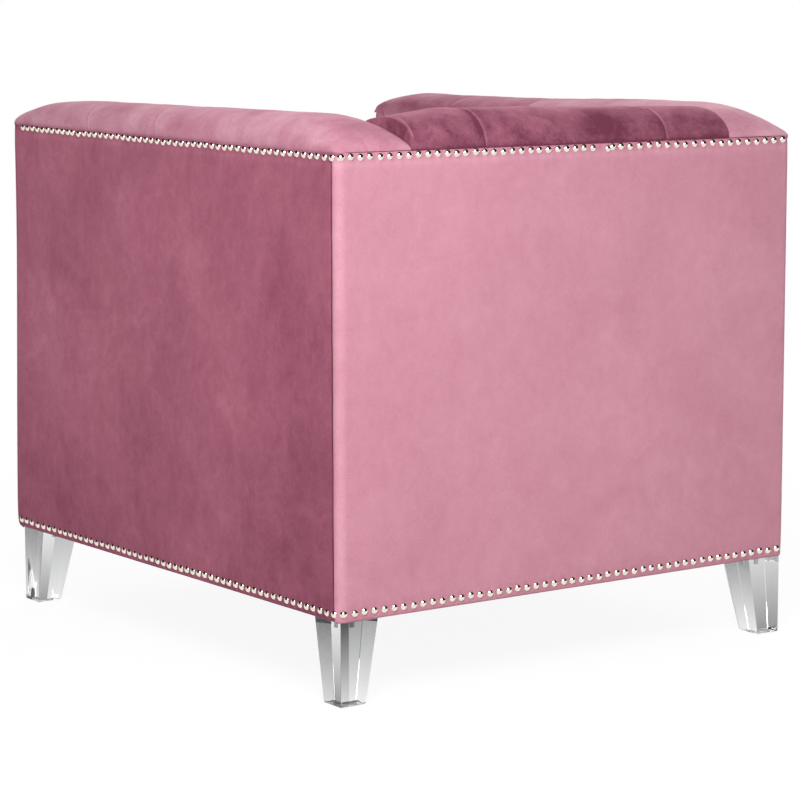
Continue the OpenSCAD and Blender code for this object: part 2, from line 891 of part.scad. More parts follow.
// Height that the cushion's face gains at the shares sx and sy of its half size
function crown_rise(sx, sy) = cushion_crown
    * sqrt(max(0, 1 - pow(abs(sx), crown_full)))
    * sqrt(max(0, 1 - pow(abs(sy), crown_full)));

// Half width at y, rounded in at the front and rear corners
function cushion_half(y) =
    let (d = cushion_half_y - abs(y - cushion_mid_y), r = cushion_corner_r)
    d >= r ? cushion_x : cushion_x - r + sqrt(max(0, r * r - pow(r - d, 2)));

function cushion_ring(y) =
    let (half = cushion_half(y), sy = (y - cushion_mid_y) / cushion_half_y,
         top = cushion_z + cushion_t, seam = half - seam_draw)
    concat(
        [for (k = [-crown_steps:crown_steps])
            let (sx = sin(90 * k / crown_steps)) [-sx * seam, top + crown_rise(sx, sy)]],
        [for (b = boxing_shares)
            [-half + seam_draw * (2 * b - 1) * (2 * b - 1), top - seam_draw / 2
                - (cushion_t - seam_draw) * b]],
        [for (k = [-2:2]) [k / 2 * (seam - seam_draw), cushion_z]],
        [for (b = boxing_shares)
            [half - seam_draw * (2 * b - 1) * (2 * b - 1), cushion_z + seam_draw / 2
                + (cushion_t - seam_draw) * b]]
    );

cushion_steps = 11;
cushion_stations = [for (k = [-cushion_steps:cushion_steps])
    cushion_mid_y + cushion_half_y * sin(90 * k / cushion_steps)];

// The foam core stands clear of the cover's rounded corners
core_in = 12;
core_side_in = 22;

module core_form(grow) {
    box_between([-cushion_x + core_side_in - grow,
            cushion_front_y + core_in - grow, cushion_z + core_in - grow],
        [cushion_x - core_side_in + grow,
            cushion_back_y - core_in + grow, cushion_z + cushion_t - core_in + grow]);
}

module cushion_cover() {
    rings = [for (y = cushion_stations) [for (p = cushion_ring(y)) [p[0], y, p[1]]]];
    sides = len(rings[0]);
    count = len(rings);
    mid_z = cushion_z + cushion_t / 2;
    color(pad_pink) difference() {
        polyhedron(
            points = concat([for (r = rings) each r],
                [[0, cushion_front_y, mid_z], [0, cushion_back_y, mid_z]]),
            faces = concat(
                strip_faces(count, sides),
                fan_faces(0, sides, count * sides, true),
                fan_faces((count - 1) * sides, sides, count * sides + 1, false)
            )
        );
        core_form(pad_gap);
    }
}

module cushion_core() {
    color("#e9e2c8") core_form(0);
}

// Zip along the middle of the rear boxing
zip_half = 210;
zip_w = 26;
zip_t = 1.2;
slider_w = 9;

module cushion_zip() {
    color("#8c5064") {
        box_between([-zip_half, cushion_back_y, cushion_z + cushion_t / 2 - zip_w / 2],
            [zip_half, cushion_back_y + zip_t, cushion_z + cushion_t / 2 + zip_w / 2]);
        box_between(
            [zip_half - 2 * slider_w, cushion_back_y + zip_t,
                cushion_z + (cushion_t - slider_w) / 2],
            [zip_half - slider_w, cushion_back_y + 3 * zip_t,
                cushion_z + (cushion_t + slider_w) / 2]);
    }
}

// Nails: a domed head, cut from a ball, on a round shank about +Z from the cloth
ball_r = (pow(nail_d / 2, 2) + pow(nail_h, 2)) / (2 * nail_h);

module nail() {
    difference() {
        translate([0, 0, nail_h - ball_r]) sphere(r = ball_r);
        translate([-ball_r, -ball_r, -2 * ball_r]) cube(2 * ball_r);
    }
    translate([0, 0, -shank_len]) cylinder(d = shank_d, h = shank_len + nail_h / 2, $fn = 24);
}

nail_top_z = edge_z - nail_edge;
nail_low_z = body_z + nail_foot;

// Number of spaces in a row that fills a length
function row_spaces(length) = round(length / nail_pitch);

// Nails are drawn in short stretches of a row, so that each union stays small
stretch = 7;

// Turn of a nail that sits on a rounded corner, at the distance d past the flat
function corner_turn(d) = d > 0 ? asin(d / corner_r) : 0;

module side_nail(y, z) {
    turn = corner_turn(y - half_d + corner_r);
    translate([half_w - corner_r + corner_r * cos(turn), y, z])
        rotate([0, 90, turn]) nail();
}

module back_nail(x, z) {
    turn = corner_turn(abs(x) - half_w + corner_r);
    translate([x, half_d - corner_r + corner_r * cos(turn), z])
        rotate([-90, 0, x > 0 ? -turn : turn]) nail();
}

module nails_back() {
    last_x = half_w - nail_corner;
    n = row_spaces(2 * last_x);
    color(nickel) for (z = [nail_top_z, nail_low_z], first = [0:stretch:n])
        for (k = [first:min(first + stretch - 1, n)])
            back_nail(-last_x + 2 * last_x * k / n, z);
}

// Distance of the first nail on a side from the chair's front, top and bottom row
side_first_top = 33;
side_first_low = 17;

module side_row(start, rise, z) {
    end = half_d - nail_rear;
    n = row_spaces(end - start);
    for (first = [0:stretch:n])
        for (k = [first:min(first + stretch - 1, n)])
            let (y = start + (end - start) * k / n)
            side_nail(y, z + rise * (half_d - y) / overall_d);
}

module nails_left() {
    color(nickel) {
        side_row(-half_d + side_first_top, arm_rise, nail_top_z);
        side_row(-half_d + side_first_low, 0, nail_low_z);
    }
}

module nails_right() {
    mirror([1, 0, 0]) nails_left();
}

module front_row(low_x, high_x, z) {
    n = row_spaces(high_x - low_x);
    for (first = [0:stretch:n])
        for (k = [first:min(first + stretch - 1, n)])
            translate([low_x + (high_x - low_x) * k / n, -half_d, z])
                rotate([90, 0, 0]) nail();
}

module nails_front() {
    last_x = half_w - nail_corner - front_edge_r;
    color(nickel) {
        front_row(-last_x, last_x, nail_low_z);
        on_both_sides()
            front_row(arm_in_x + nail_corner, last_x, edge_at(-half_d) - nail_edge);
    }
}

rear_posts();
front_posts();
seat_rail_front();
seat_rail_back();
seat_rail_left();
seat_rail_right();
arm_rail_left();
arm_rail_right();
back_rail();
tack_rail_left();
tack_rail_right();
tack_rail_back();
corner_blocks();
block_screws();
serpentine_springs();
spring_clips();
tie_wires();
spring_felt();
deck_pad();
arm_board_left();
arm_board_right();
back_webbing();
outer_side_left();
outer_side_right();
outer_back();
arm_front_left();
arm_front_right();
front_border();
dust_cover();
arm_pad_left();
arm_pad_right();
back_pad();
buttons_left();
buttons_right();
buttons_back();
cushion_cover();
cushion_core();
cushion_zip();
nails_back();
nails_left();
nails_right();
nails_front();
leg(1, -1);  // leg_front_left
leg(-1, -1);  // leg_front_right
leg(1, 1);  // leg_rear_left
leg(-1, 1);  // leg_rear_right
leg_plates();
leg_bolts();
plate_screws();
leg_glides();
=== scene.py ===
# %% [markdown]
# # A tufted club chair with nailhead rows and clear legs
# The chair arrives as a frame of exact CAD solids: posts, rails, springs, panels and pads.
# This lesson dresses that frame. The hard parts inside get materials, and each covered part
# gets a mesh of its own, with seams, pleats, puckers and a velvet nap.
# Sizes are the frame's own, in millimetres, and become metres in the last step of a shape.

# %% Load the frame
import bpy, bmesh
from math import sin, cos, pi, exp, sqrt, radians, floor, atan, hypot
from mathutils import Vector, Matrix, noise
from mathutils.bvhtree import BVHTree
from mathutils.kdtree import KDTree


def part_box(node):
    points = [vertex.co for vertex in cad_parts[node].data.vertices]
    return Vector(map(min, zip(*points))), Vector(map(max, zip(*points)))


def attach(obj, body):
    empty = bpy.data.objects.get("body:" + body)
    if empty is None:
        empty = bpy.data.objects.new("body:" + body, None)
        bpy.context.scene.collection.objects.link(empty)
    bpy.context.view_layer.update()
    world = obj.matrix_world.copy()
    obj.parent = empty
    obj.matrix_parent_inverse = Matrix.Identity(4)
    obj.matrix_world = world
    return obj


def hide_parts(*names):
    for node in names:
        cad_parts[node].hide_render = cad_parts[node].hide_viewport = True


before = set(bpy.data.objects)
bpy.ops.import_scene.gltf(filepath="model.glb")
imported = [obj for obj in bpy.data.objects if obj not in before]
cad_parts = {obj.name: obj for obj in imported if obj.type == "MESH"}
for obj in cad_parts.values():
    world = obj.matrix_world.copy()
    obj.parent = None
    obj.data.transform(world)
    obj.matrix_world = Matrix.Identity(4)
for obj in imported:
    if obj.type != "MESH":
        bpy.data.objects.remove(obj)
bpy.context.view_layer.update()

# %% [markdown]
# ## The sizes that the pieces share
# A dressed piece has to meet its neighbours, so the sizes are named once, here.
# +X is the chair's own left arm, the sitter faces -Y, and z = 0 is the floor.

# %% Sizes in millimetres
MM = 0.001
HALF_W, HALF_D = 394, 435
BODY_Z, EDGE_Z, CROWN_Z = 114, 724, 772
ARM_RISE, SKIN = 11, 6
CORNER_R, SIDE_SEAM_Y, SIDE_START_Y = 13, 421, -427
ARM_IN_X, BOARD_X = 277, 312
BACK_IN_Y, BACK_FOOT_Y, WEB_TOP_Y = 318, 200, 355
DECK_TOP_Z = 315.3
BUTTON_Z, ROW_DROP = 655, 100
ARM_FIRST_Y, ARM_PITCH = -226.2, 189.66
BACK_FIRST_X, BACK_PITCH = 156.02, 312.05
NAIL_D, NAIL_H, NAIL_PITCH = 9.8, 2.8, 15.9
NAIL_DROP, NAIL_RISE, NAIL_REAR_Y = 5.5, 11.5, HALF_D - CORNER_R
GRID = 2.65  # spacing of a cover's columns, six from nail to nail
CLEAR = 0.3  # gap between a soft piece and the solid behind it


def edge_at(y):
    """Height of the body's upper edge along an arm."""
    return EDGE_Z + ARM_RISE * (HALF_D - y) / (2 * HALF_D)


def smooth(t):
    """A soft step from 0 to 1."""
    t = min(1.0, max(0.0, t))
    return t * t * (3 - 2 * t)


def bell(s, middle, width):
    """A round hump of height 1."""
    return exp(-((s - middle) / width) ** 2)


def fade(d, reach):
    """1 at the distance 0, dying out on both sides."""
    return exp(-abs(d) / reach)


def round_in(d, radius):
    """How far a rounded corner lies inside the square one, at the distance d from its end."""
    return 0.0 if d >= radius else radius - sqrt(max(0.0, radius * radius - (radius - d) ** 2))


def rake(y, z):
    """How far the covers of the front stand back at the top and forward at the bottom."""
    lean = 5.5 - 15.5 * smooth((650 - z) / 560) + 0.8 * round_in(z - BODY_Z, 14)
    return lean * smooth((-300 - y) / 110)


print("arm edge rises from", edge_at(HALF_D), "to", edge_at(-HALF_D))

# %% [markdown]
# ## The camera
# The photograph looks at the chair's back and left side from a little above the seat,
# through a long lens. Place, turn and focal length come from matching the corners of the
# body and the rows of nails.

# %% Camera at the photograph's angle
scene = bpy.context.scene


def add_object(name, data):
    """A new object in the scene."""
    made = bpy.data.objects.new(name, data)
    scene.collection.objects.link(made)
    return made


def look_along(holder, place, way, roll=0.0):
    """Puts a camera or a lamp at a place and turns it along a direction."""
    holder.location = place
    holder.rotation_mode = "QUATERNION"
    holder.rotation_quaternion = way.to_track_quat("-Z", "Y") @ Matrix.Rotation(roll, 4, "Z").to_quaternion()


cam_data = bpy.data.cameras.new("camera")
cam_data.sensor_width, cam_data.lens = 36, 126.87
cam_data.clip_start, cam_data.clip_end = 0.05, 60
scene.camera = add_object("camera", cam_data)
yaw, pitch, roll = radians(-125.786), radians(7.986), radians(-0.113)
look_along(scene.camera, (2.4263, 3.3895, 0.9116),
           Vector((cos(pitch) * cos(yaw), cos(pitch) * sin(yaw), -sin(pitch))), roll)
print("camera", tuple(scene.camera.location), "lens", cam_data.lens)

# %% [markdown]
# ## The studio
# A plain pale floor, a white surround and two large soft lamps. Cloth is lit evenly, so a
# colour renders about as it is written. Shiny nails and clear legs need something to mirror:
# for the nails the surround is white near the horizon and dark overhead, as in a real
# studio. Light Path tells the world shader which kind of ray is asking. A few helpers come
# first, because a node tree built by hand takes a line for every link.

# %% Shader helpers
def fill(tree, made, *places, **inputs):
    """Fills a node's inputs, in order or by name, with spaces written as underscores.

    Each gets a value, a socket, or a node, which stands for its first output. None skips one.
    """
    for key, value in (*enumerate(places), *inputs.items()):
        socket = made.inputs[key if isinstance(key, int) else key.replace("_", " ")]
        if isinstance(value, bpy.types.Node):
            value = value.outputs[0]
        if isinstance(value, bpy.types.NodeSocket):
            tree.links.new(value, socket)
        elif value is not None:
            socket.default_value = value
    return made


def node(tree, kind, *places, **inputs):
    """A new shader node with its inputs filled."""
    return fill(tree, tree.nodes.new("ShaderNode" + kind), *places, **inputs)


def maths(tree, operation, *sides, kind="Math", clamp=False):
    """The result of a Math or VectorMath node."""
    made = node(tree, kind)
    made.operation = operation
    if clamp:
        made.use_clamp = True
    fill(tree, made, *sides)
    return made.outputs["Value"]


def ramp(tree, factor, *stops):
    """A colour ramp from (place, grey or colour) stops."""
    made = node(tree, "ValToRGB", factor)
    while len(made.color_ramp.elements) < len(stops):
        made.color_ramp.elements.new(0.5)
    for element, (place, shade) in zip(made.color_ramp.elements, stops):
        element.position = place
        element.color = (*shade, 1) if isinstance(shade, tuple) else (shade, shade, shade, 1)
    return made.outputs[0]


def mix_colour(tree, factor, a, b):
    """Mixes two sides, each a grey or a socket."""
    made = tree.nodes.new("ShaderNodeMix")
    made.data_type = "RGBA"
    a, b = ((side, side, side, 1) if isinstance(side, float) else side for side in (a, b))
    return fill(tree, made, factor, *[None] * 5, a, b).outputs[2]


def empty_tree(owner):
    """The cleared node tree of a world or a material."""
    owner.use_nodes = True
    owner.node_tree.nodes.clear()
    return owner.node_tree


print("shader helpers ready")

# %% [markdown]
# The floor fades into the white surround a few metres out, and the camera sees it nearly
# white, with the lamps' faint shadow. Light that bounces off it sees a plain pale floor.

# %% Studio
scene.view_settings.view_transform = "Standard"
scene.world = bpy.data.worlds.new("studio")
tree = empty_tree(scene.world)
ray = node(tree, "LightPath").outputs
way = node(tree, "TexCoord").outputs["Generated"]
split = node(tree, "SeparateXYZ", way).outputs
height = maths(tree, "MULTIPLY_ADD", split["Z"], 0.5, 0.5)
tilted = maths(tree, "ADD", height, maths(tree, "MULTIPLY", split["X"], -0.125))
nail_sky = ramp(tree, tilted, (0, 0.85), (0.5, 1.0), (0.6, 0.95), (0.625, 0.4), (0.65, 0.02), (1, 0.01))
for aim, stops, shade in (((0.75, -0.25, 0.61), ((0.79, 0.0), (0.84, 1.0)), 0.02),
                          ((0.3, 0.49, 0.82), ((0.925, 0.0), (0.96, 1.0)), 1.5)):
    near = ramp(tree, maths(tree, "DOT_PRODUCT", way, aim, kind="VectorMath"), *stops)
    nail_sky = mix_colour(tree, near, nail_sky, shade)
clear_sky = ramp(tree, height, (0, 1.0), (0.6, 1.0), (0.8, 0.7))
seen = mix_colour(tree, ray["Is Glossy Ray"], 0.44, nail_sky)
seen = mix_colour(tree, ray["Is Transmission Ray"], seen, clear_sky)
seen = mix_colour(tree, ray["Is Camera Ray"], seen, 1.0)
node(tree, "OutputWorld", node(tree, "Background", Color=seen, Strength=1.0))

floor_mesh = bmesh.new()
bmesh.ops.create_grid(floor_mesh, x_segments=2, y_segments=2, size=14)
ground = add_object("floor", bpy.data.meshes.new("floor"))
floor_mesh.to_mesh(ground.data)
floor_mesh.free()
ground.data.materials.append(bpy.data.materials.new("pale_floor"))
tree = empty_tree(ground.data.materials[0])
shaded = node(tree, "AddShader", node(tree, "BsdfDiffuse", Color=(0.1, 0.1, 0.1, 1)),
              node(tree, "Emission", Color=(1, 1, 1, 1), Strength=0.92))
away = maths(tree, "LENGTH", node(tree, "TexCoord").outputs["Object"], kind="VectorMath")
far = maths(tree, "MULTIPLY_ADD", away, 0.5, -0.6, clamp=True)
shown = node(tree, "MixShader", far, shaded, node(tree, "Emission", Color=(1, 1, 1, 1), Strength=1.0))
ray = node(tree, "LightPath").outputs
direct = maths(tree, "MAXIMUM", ray["Is Camera Ray"], ray["Is Glossy Ray"])
direct = maths(tree, "MAXIMUM", direct, ray["Is Transmission Ray"])
bounce = node(tree, "BsdfDiffuse", Color=(0.8, 0.8, 0.8, 1))
node(tree, "OutputMaterial", node(tree, "MixShader", direct, bounce, shown))

for name, place, aim, side, watts in (("key", (1.35, 1.85, 1.85), (0.1, 0.2, 0.45), 1.2, 55),
                                      ("fill", (-2.2, -2.6, 2.6), (0, 0, 0.4), 2.4, 48)):
    lamp = bpy.data.lights.new(name, "AREA")
    lamp.shape, lamp.size, lamp.energy = "SQUARE", side, watts
    look_along(add_object(name, lamp), place, Vector(aim) - Vector(place))
print("studio ready")

# %% [markdown]
# ## Velvet
# Velvet is a short dense pile. Brushed one way it looks light, brushed the other way dark,
# so a panel is never one flat colour: it has clouds as wide as a hand, streaks along the
# nap and a fine grain. Here noise in object space makes the clouds and streaks. A vertex
# attribute called tone carries painted shade in seams, creases and dimples and painted
# highlights on ridges and crowns, besides brushed patches and random tone. The sheen lobe
# of the Principled shader gives the pale rim of the pile. The last bump is the pile itself.

# %% Velvet material
LOOKS = {}


def material(name):
    """Starts a material: its node tree, its shader and the object's coordinates."""
    LOOKS[name] = made = bpy.data.materials.new(name)
    made.use_nodes = True
    tree = made.node_tree
    return tree, tree.nodes["Principled BSDF"], node(tree, "TexCoord").outputs["Object"]


def paint(rgb):
    """A colour given in screen values from 0 to 255, as the linear value a shader needs."""
    return tuple(c / 12.92 if c <= 0.04045 else ((c + 0.055) / 1.055) ** 2.4 for c in (v / 255 for v in rgb))


def noise_at(tree, coords, scale, detail=3, rough=0.5, stretch=(1, 1, 1), twist=0.0):
    """Noise in object space, stretched along the axes."""
    return node(tree, "TexNoise", Vector=node(tree, "Mapping", Vector=coords, Scale=stretch), Scale=scale,
                Detail=detail, Roughness=rough, Distortion=twist).outputs["Fac"]


def velvet(name, body, light, dark, cloud=1.0, streak_axis=2, sheen=0.3):
    """Velvet whose colour runs between a light and a dark shade of its body colour, by its brushed pile and
    by the painted shade and painted highlights in the tone attribute.
    """
    tree, shader, coords = material(name)
    patches = noise_at(tree, coords, 17, 3, 0.6, twist=1.2)
    grain = noise_at(tree, coords, 380, 2, 0.6)
    clouds = noise_at(tree, coords, 4.6, 4, 0.55, twist=0.6)
    mottle = noise_at(tree, coords, 66, 3, 0.65, twist=0.8)
    streaks = noise_at(tree, coords, 22, 4, 0.6, [1.0 if k == streak_axis else 3.0 for k in range(3)])
    level = 0.5
    for part, share in ((clouds, 0.55 * cloud), (patches, 0.34 * cloud), (mottle, 0.26 * cloud),
                        (streaks, 0.14 * cloud), (grain, 0.3)):
        level = maths(tree, "ADD", level, maths(tree, "MULTIPLY_ADD", part, share, -share / 2))
    # The tone attribute adds painted shade and painted highlights to the colour, as well as random tone.
    tone = node(tree, "Attribute")
    tone.attribute_name = "tone"
    level = maths(tree, "ADD", level, maths(tree, "MULTIPLY", tone.outputs["Fac"], 0.5), clamp=True)
    pile = node(tree, "Bump", Strength=0.35, Distance=0.0005, Height=grain)
    fill(tree, shader, Specular_IOR_Level=0.12, Sheen_Weight=sheen, Sheen_Roughness=0.45,
         Base_Color=ramp(tree, level, (0.0, paint(dark)), (0.5, paint(body)), (1.0, paint(light))),
         Roughness=ramp(tree, patches, (0.2, 0.78), (0.8, 0.92)), Sheen_Tint=(*paint(light), 1),
         Normal=node(tree, "Bump", Strength=0.5, Distance=0.0012, Height=patches, Normal=pile))


# The side and the back are shaded and lit copies of one velvet, and so are the back pad and the arm pads:
# their colours differ by painted shade and painted light.
velvet("velvet_side", (167, 98, 118), (194, 127, 147), (132, 68, 89), 1.4)
velvet("velvet_back", (195, 136, 152), (218, 162, 176), (170, 105, 124), 0.85)
velvet("velvet_front", (178, 108, 129), (206, 142, 160), (142, 76, 97))
velvet("velvet_arm_pad", (184, 124, 142), (210, 162, 175), (146, 82, 104), 1.5, 1, 0.4)
velvet("velvet_back_pad", (164, 100, 120), (196, 138, 155), (104, 48, 68), 1.5, 0, 0.35)
velvet("velvet_button", (168, 98, 119), (196, 134, 151), (130, 68, 90))
velvet("velvet_cushion", (176, 110, 130), (206, 148, 164), (140, 76, 97), 1.2, 1)
print(len(LOOKS), "velvets")

# %% [markdown]
# ## The other materials
# A learner may open the model and look inside, so the wood, springs, felt and plates get
# small procedural materials: grain stretched along a board, brushed noise on steel, a tight
# weave on webbing, and cells on foam.

# %% Materials of the frame
def shades(tree, level, body, spread, start):
    """A ramp from a darker to a lighter shade of a colour."""
    dark, light = (paint(min(255, max(0, c + way * spread)) for c in body) for way in (-1, 1))
    return ramp(tree, level, (start, dark), (1 - start, light))


def basic(name, body, spread, scale, stretch=(1, 1, 1), rough=(0.5, 0.7), metal=0.0, bump=0.0003, detail=4):
    """A material whose colour and roughness follow one stretched noise."""
    tree, shader, coords = material(name)
    pattern = noise_at(tree, coords, scale, detail, 0.6, stretch)
    fill(tree, shader, Base_Color=shades(tree, pattern, body, spread, 0.25), Metallic=metal,
         Roughness=ramp(tree, pattern, (0.3, rough[0]), (0.7, rough[1])),
         Normal=node(tree, "Bump", Strength=0.5, Distance=bump, Height=pattern))


def woven(name, body, spread, pitch, axes=(0, 2)):
    """Plain weave: two crossed waves of the given pitch in metres."""
    tree, shader, coords = material(name)
    split = node(tree, "SeparateXYZ", coords).outputs
    waves = [maths(tree, "SINE", maths(tree, "MULTIPLY", split[k], 2 * pi / pitch)) for k in axes]
    level = maths(tree, "MULTIPLY_ADD", maths(tree, "MULTIPLY", *waves), 0.35, 0.5)
    fill(tree, shader, Base_Color=shades(tree, level, body, spread, 0.1), Roughness=0.85,
         Normal=node(tree, "Bump", Strength=0.6, Distance=0.0004, Height=level))


basic("hardwood", (196, 158, 108), 26, 30, (1, 1, 0.12))
basic("rail_wood", (200, 162, 112), 26, 30, (0.12, 1, 1))
basic("side_wood", (192, 152, 104), 26, 30, (1, 0.12, 1))
basic("plywood", (190, 150, 98), 20, 26, (1, 0.3, 0.1), (0.55, 0.75))
basic("steel", (150, 153, 158), 16, 160, rough=(0.3, 0.45), metal=1.0)
basic("bright_steel", (226, 227, 228), 8, 160, rough=(0.4, 0.5), metal=0.6)
basic("spring_steel", (112, 116, 122), 14, 220, rough=(0.28, 0.42), metal=1.0)
basic("zinc_screws", (196, 178, 116), 18, 300, rough=(0.25, 0.4), metal=1.0)
basic("paper_wire", (176, 160, 128), 20, 500, (0.2, 1, 1), (0.7, 0.85))
basic("felt", (122, 118, 110), 34, 260, rough=(0.9, 0.98), bump=0.0008, detail=6)
basic("deck_foam", (198, 178, 150), 14, 700, rough=(0.85, 0.95), bump=0.0006)
basic("foam_core", (232, 224, 196), 12, 700, rough=(0.85, 0.95), bump=0.0006)
basic("nylon", (232, 232, 228), 6, 200, rough=(0.35, 0.5))
basic("nickel", (234, 227, 213), 8, 260, rough=(0.07, 0.14), metal=1.0, bump=0.00006)
woven("webbing", (150, 132, 104), 34, 0.003)
woven("cambric", (34, 34, 36), 12, 0.0012, (0, 1))
woven("zip_tape", (140, 80, 100), 18, 0.0018)

DRESS = {
    "hardwood": "rear_posts front_posts corner_blocks",
    "rail_wood": "seat_rail_front seat_rail_back back_rail tack_rail_back",
    "side_wood": "seat_rail_left seat_rail_right arm_rail_left arm_rail_right tack_rail_left tack_rail_right",
    "plywood": "arm_board_left arm_board_right",
    "steel": "leg_plates spring_clips",
    "bright_steel": "leg_bolts",
    "spring_steel": "serpentine_springs",
    "zinc_screws": "block_screws plate_screws",
    "paper_wire": "tie_wires",
    "felt": "spring_felt",
    "webbing": "back_webbing",
    "zip_tape": "cushion_zip",
    "nylon": "leg_glides",
}
for look, names in DRESS.items():
    for name in names.split():
        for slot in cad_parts[name].material_slots:
            slot.material = LOOKS[look]
print(len(LOOKS), "materials for pieces and frame")

# %% [markdown]
# ## Making a covered piece
# Most covers here are a sheet of cloth over something stiff. A grid is the natural start:
# one way along the piece, the other way round it. A small function then says where each
# grid point lies, so rows can crowd together at a seam or a nail and spread out elsewhere.
# Sculpting by hand would give the same look, but not the same result each time.

# %% Grid helpers
def steps(*stretches):
    """Values from (start, end, spacing) stretches, joined without doubles."""
    values = []
    for start, end, gap in stretches:
        count = max(1, round(abs(end - start) / gap))
        values += [start + (end - start) * k / count for k in range(count + 1)]
    return values[:1] + [b for a, b in zip(values, values[1:]) if abs(b - a) > 1e-6]


def bent_grid(us, vs, place):
    """A grid with a point for each u and v, at place(u, v) = (x, y, z, tone) in millimetres."""
    bm = bmesh.new()
    bmesh.ops.create_grid(bm, x_segments=len(us) - 1, y_segments=len(vs) - 1, size=1)
    tone = bm.verts.layers.float.new("tone")
    for vert in bm.verts:
        i = round((vert.co.x + 1) / 2 * (len(us) - 1))
        j = round((vert.co.y + 1) / 2 * (len(vs) - 1))
        x, y, z, vert[tone] = place(us[i], vs[j])
        vert.co = (x * MM, y * MM, z * MM)
    return bm


def closed(bm):
    """Joins the points that meet, then closes the open ends."""
    bmesh.ops.remove_doubles(bm, verts=bm.verts, dist=0.00002)
    bmesh.ops.dissolve_degenerate(bm, edges=bm.edges, dist=0.00001)
    bmesh.ops.holes_fill(bm, edges=[edge for edge in bm.edges if edge.is_boundary], sides=0)
    return bm


def mesh_of(name, bm):
    """Mesh data from a bmesh."""
    data = bpy.data.meshes.new(name)
    bm.to_mesh(data)
    bm.free()
    return data


def finish_piece(name, bm, look, stands_for="", filled=0.0, body="chair", crease=50, wall=0.0):
    """Turns a bmesh into a named piece with smooth faces and sharp creases.

    A wall gives a sheet its thickness in millimetres, on the side away from its faces.
    """
    bmesh.ops.recalc_face_normals(bm, faces=bm.faces)
    for face in bm.faces:
        face.smooth = True
    for edge in bm.edges:
        if len(edge.link_faces) == 2 and edge.calc_face_angle(0) > radians(crease):
            edge.smooth = False
    piece = add_object(name, mesh_of(name, bm))
    piece.data.materials.append(LOOKS[look])
    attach(piece, body)
    if wall:
        solid = piece.modifiers.new("wall", "SOLIDIFY")
        solid.thickness, solid.offset, solid.use_rim = wall * MM, -1, True
    if stands_for:
        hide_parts(stands_for)
    return piece


def mirrored(bm):
    """The same shape on the chair's other side."""
    copy = bm.copy()
    bmesh.ops.scale(copy, vec=(-1, 1, 1), verts=copy.verts)
    bmesh.ops.reverse_faces(copy, faces=copy.faces)
    return copy


def finish_pair(stem, end, left, look, filled, right=None, **more):
    """Finishes a left piece and its right one, which is the left one mirrored if none is given."""
    right = right or mirrored(left)
    for name, bm in ((stem + "_left", left), (stem + "_right", right)):
        finish_piece(name + end, bm, look, name, filled, **more)


def ripple(x, y, z, size, seed=0.0):
    """Smooth noise from -1 to 1 over millimetres."""
    return noise.noise(Vector((x / size + seed, y / size - seed, z / size + 2 * seed)))


# %% [markdown]
# ## The outer panels
# Each outer panel is velvet over a board with a little wadding. It is pulled down at the
# two rows of nails and swells between them, by about two millimetres. Between two nails the
# cloth puffs up a little, and short tension lines run from the nails into the panel.
# The grid has close rows at the nails and wide rows in the middle.

# %% Panel section
PANEL_H = EDGE_Z - BODY_Z
TOP_NAIL, LOW_NAIL = PANEL_H - NAIL_DROP, NAIL_RISE
ROUND, STITCH = 4, 7
SWELL, PUFF = 2.2, 0.55  # how far a panel swells between its rows, and between two nails
TUCK, SWELL_REACH = 7, 11  # how far from the nails each of them dies out or builds up
CLOTH = SKIN - 2.5
PANEL_ROWS = steps((0, 24, 1.5), (24, 60, 6), (60, PANEL_H - 60, 22), (PANEL_H - 60, PANEL_H - 20, 6),
                   (PANEL_H - 20, PANEL_H, 1.25))


def puff(along, start, pitch):
    """0 at a nail and 1 halfway to the next one."""
    return 0.5 - 0.5 * cos(2 * pi * (along - start) / pitch)


def panel_out(along, h, nails_top, nails_low, x, y, z):
    """How far a panel stands out at the height h, with its tone of painted shade and painted highlight. Nails
    are (start, pitch).
    """
    down, up = TOP_NAIL - h, h - LOW_NAIL
    top, low = fade(down, TUCK), fade(up, TUCK)
    puff_top, puff_low = puff(along, *nails_top), puff(along, *nails_low)
    out = SWELL * (1 - fade(max(0, down), SWELL_REACH)) * (1 - fade(max(0, up), SWELL_REACH))
    out += PUFF * (top * puff_top + low * puff_low)
    tension = ripple(along, h, 0, 9, 3.1) * fade(down, 26) + ripple(along, h, 0, 9, 7.7) * fade(up, 20)
    out += 0.35 * tension + 0.55 * ripple(x, y, z, 95, 1.3) + 0.16 * ripple(x, y, z, 30, 5.2)
    rim = round_in(h, ROUND) + round_in(PANEL_H - h, ROUND)
    # Painted shade in the dimples at the nails and along the rounded rims, and a painted highlight on the
    # swell just under the top row.
    tone = -0.5 * top * (1 - puff_top) - 0.35 * low * (1 - puff_low)
    return out - rim, tone + 0.25 * bell(down, 9, 5) - 0.35 * smooth(rim / 3)


def path_point(s, x, y, way, *parts):
    """Point and outward direction at the distance s along a path.

    It starts along the angle way. Each part is a length and the radius of its left turn, 0 if straight.
    """
    for length, radius in parts:
        here = min(s, length)
        if radius:
            turned = way + here / radius
            x, y = x + radius * (sin(turned) - sin(way)), y - radius * (cos(turned) - cos(way))
            way = turned
        else:
            x, y = x + here * cos(way), y + here * sin(way)
        s -= here
    return x, y, sin(way), -cos(way)


def sewn(out, tone, seam, z):
    """Draws a cover in along a seam, where seam is 1, with a tuck at each stitch, and paints shade into the
    seam's groove.
    """
    stitch = 1 - puff(z, 0, STITCH)
    return out - (1.6 + 0.7 * stitch) * seam, tone - (0.5 + 0.3 * stitch) * seam


print("panel rows", len(PANEL_ROWS))

# %% [markdown]
# ### The two sides
# A side panel runs from the front panel's edge to the seam near the rear corner. Both ends
# turn in by a couple of millimetres, so that a narrow groove is left where it meets the
# next panel. The right side is the left one mirrored.

# %% Side panels
def row_of(start, end):
    """Start and pitch of a row of nails that fills a length."""
    return start, (end - start) / round((end - start) / NAIL_PITCH)


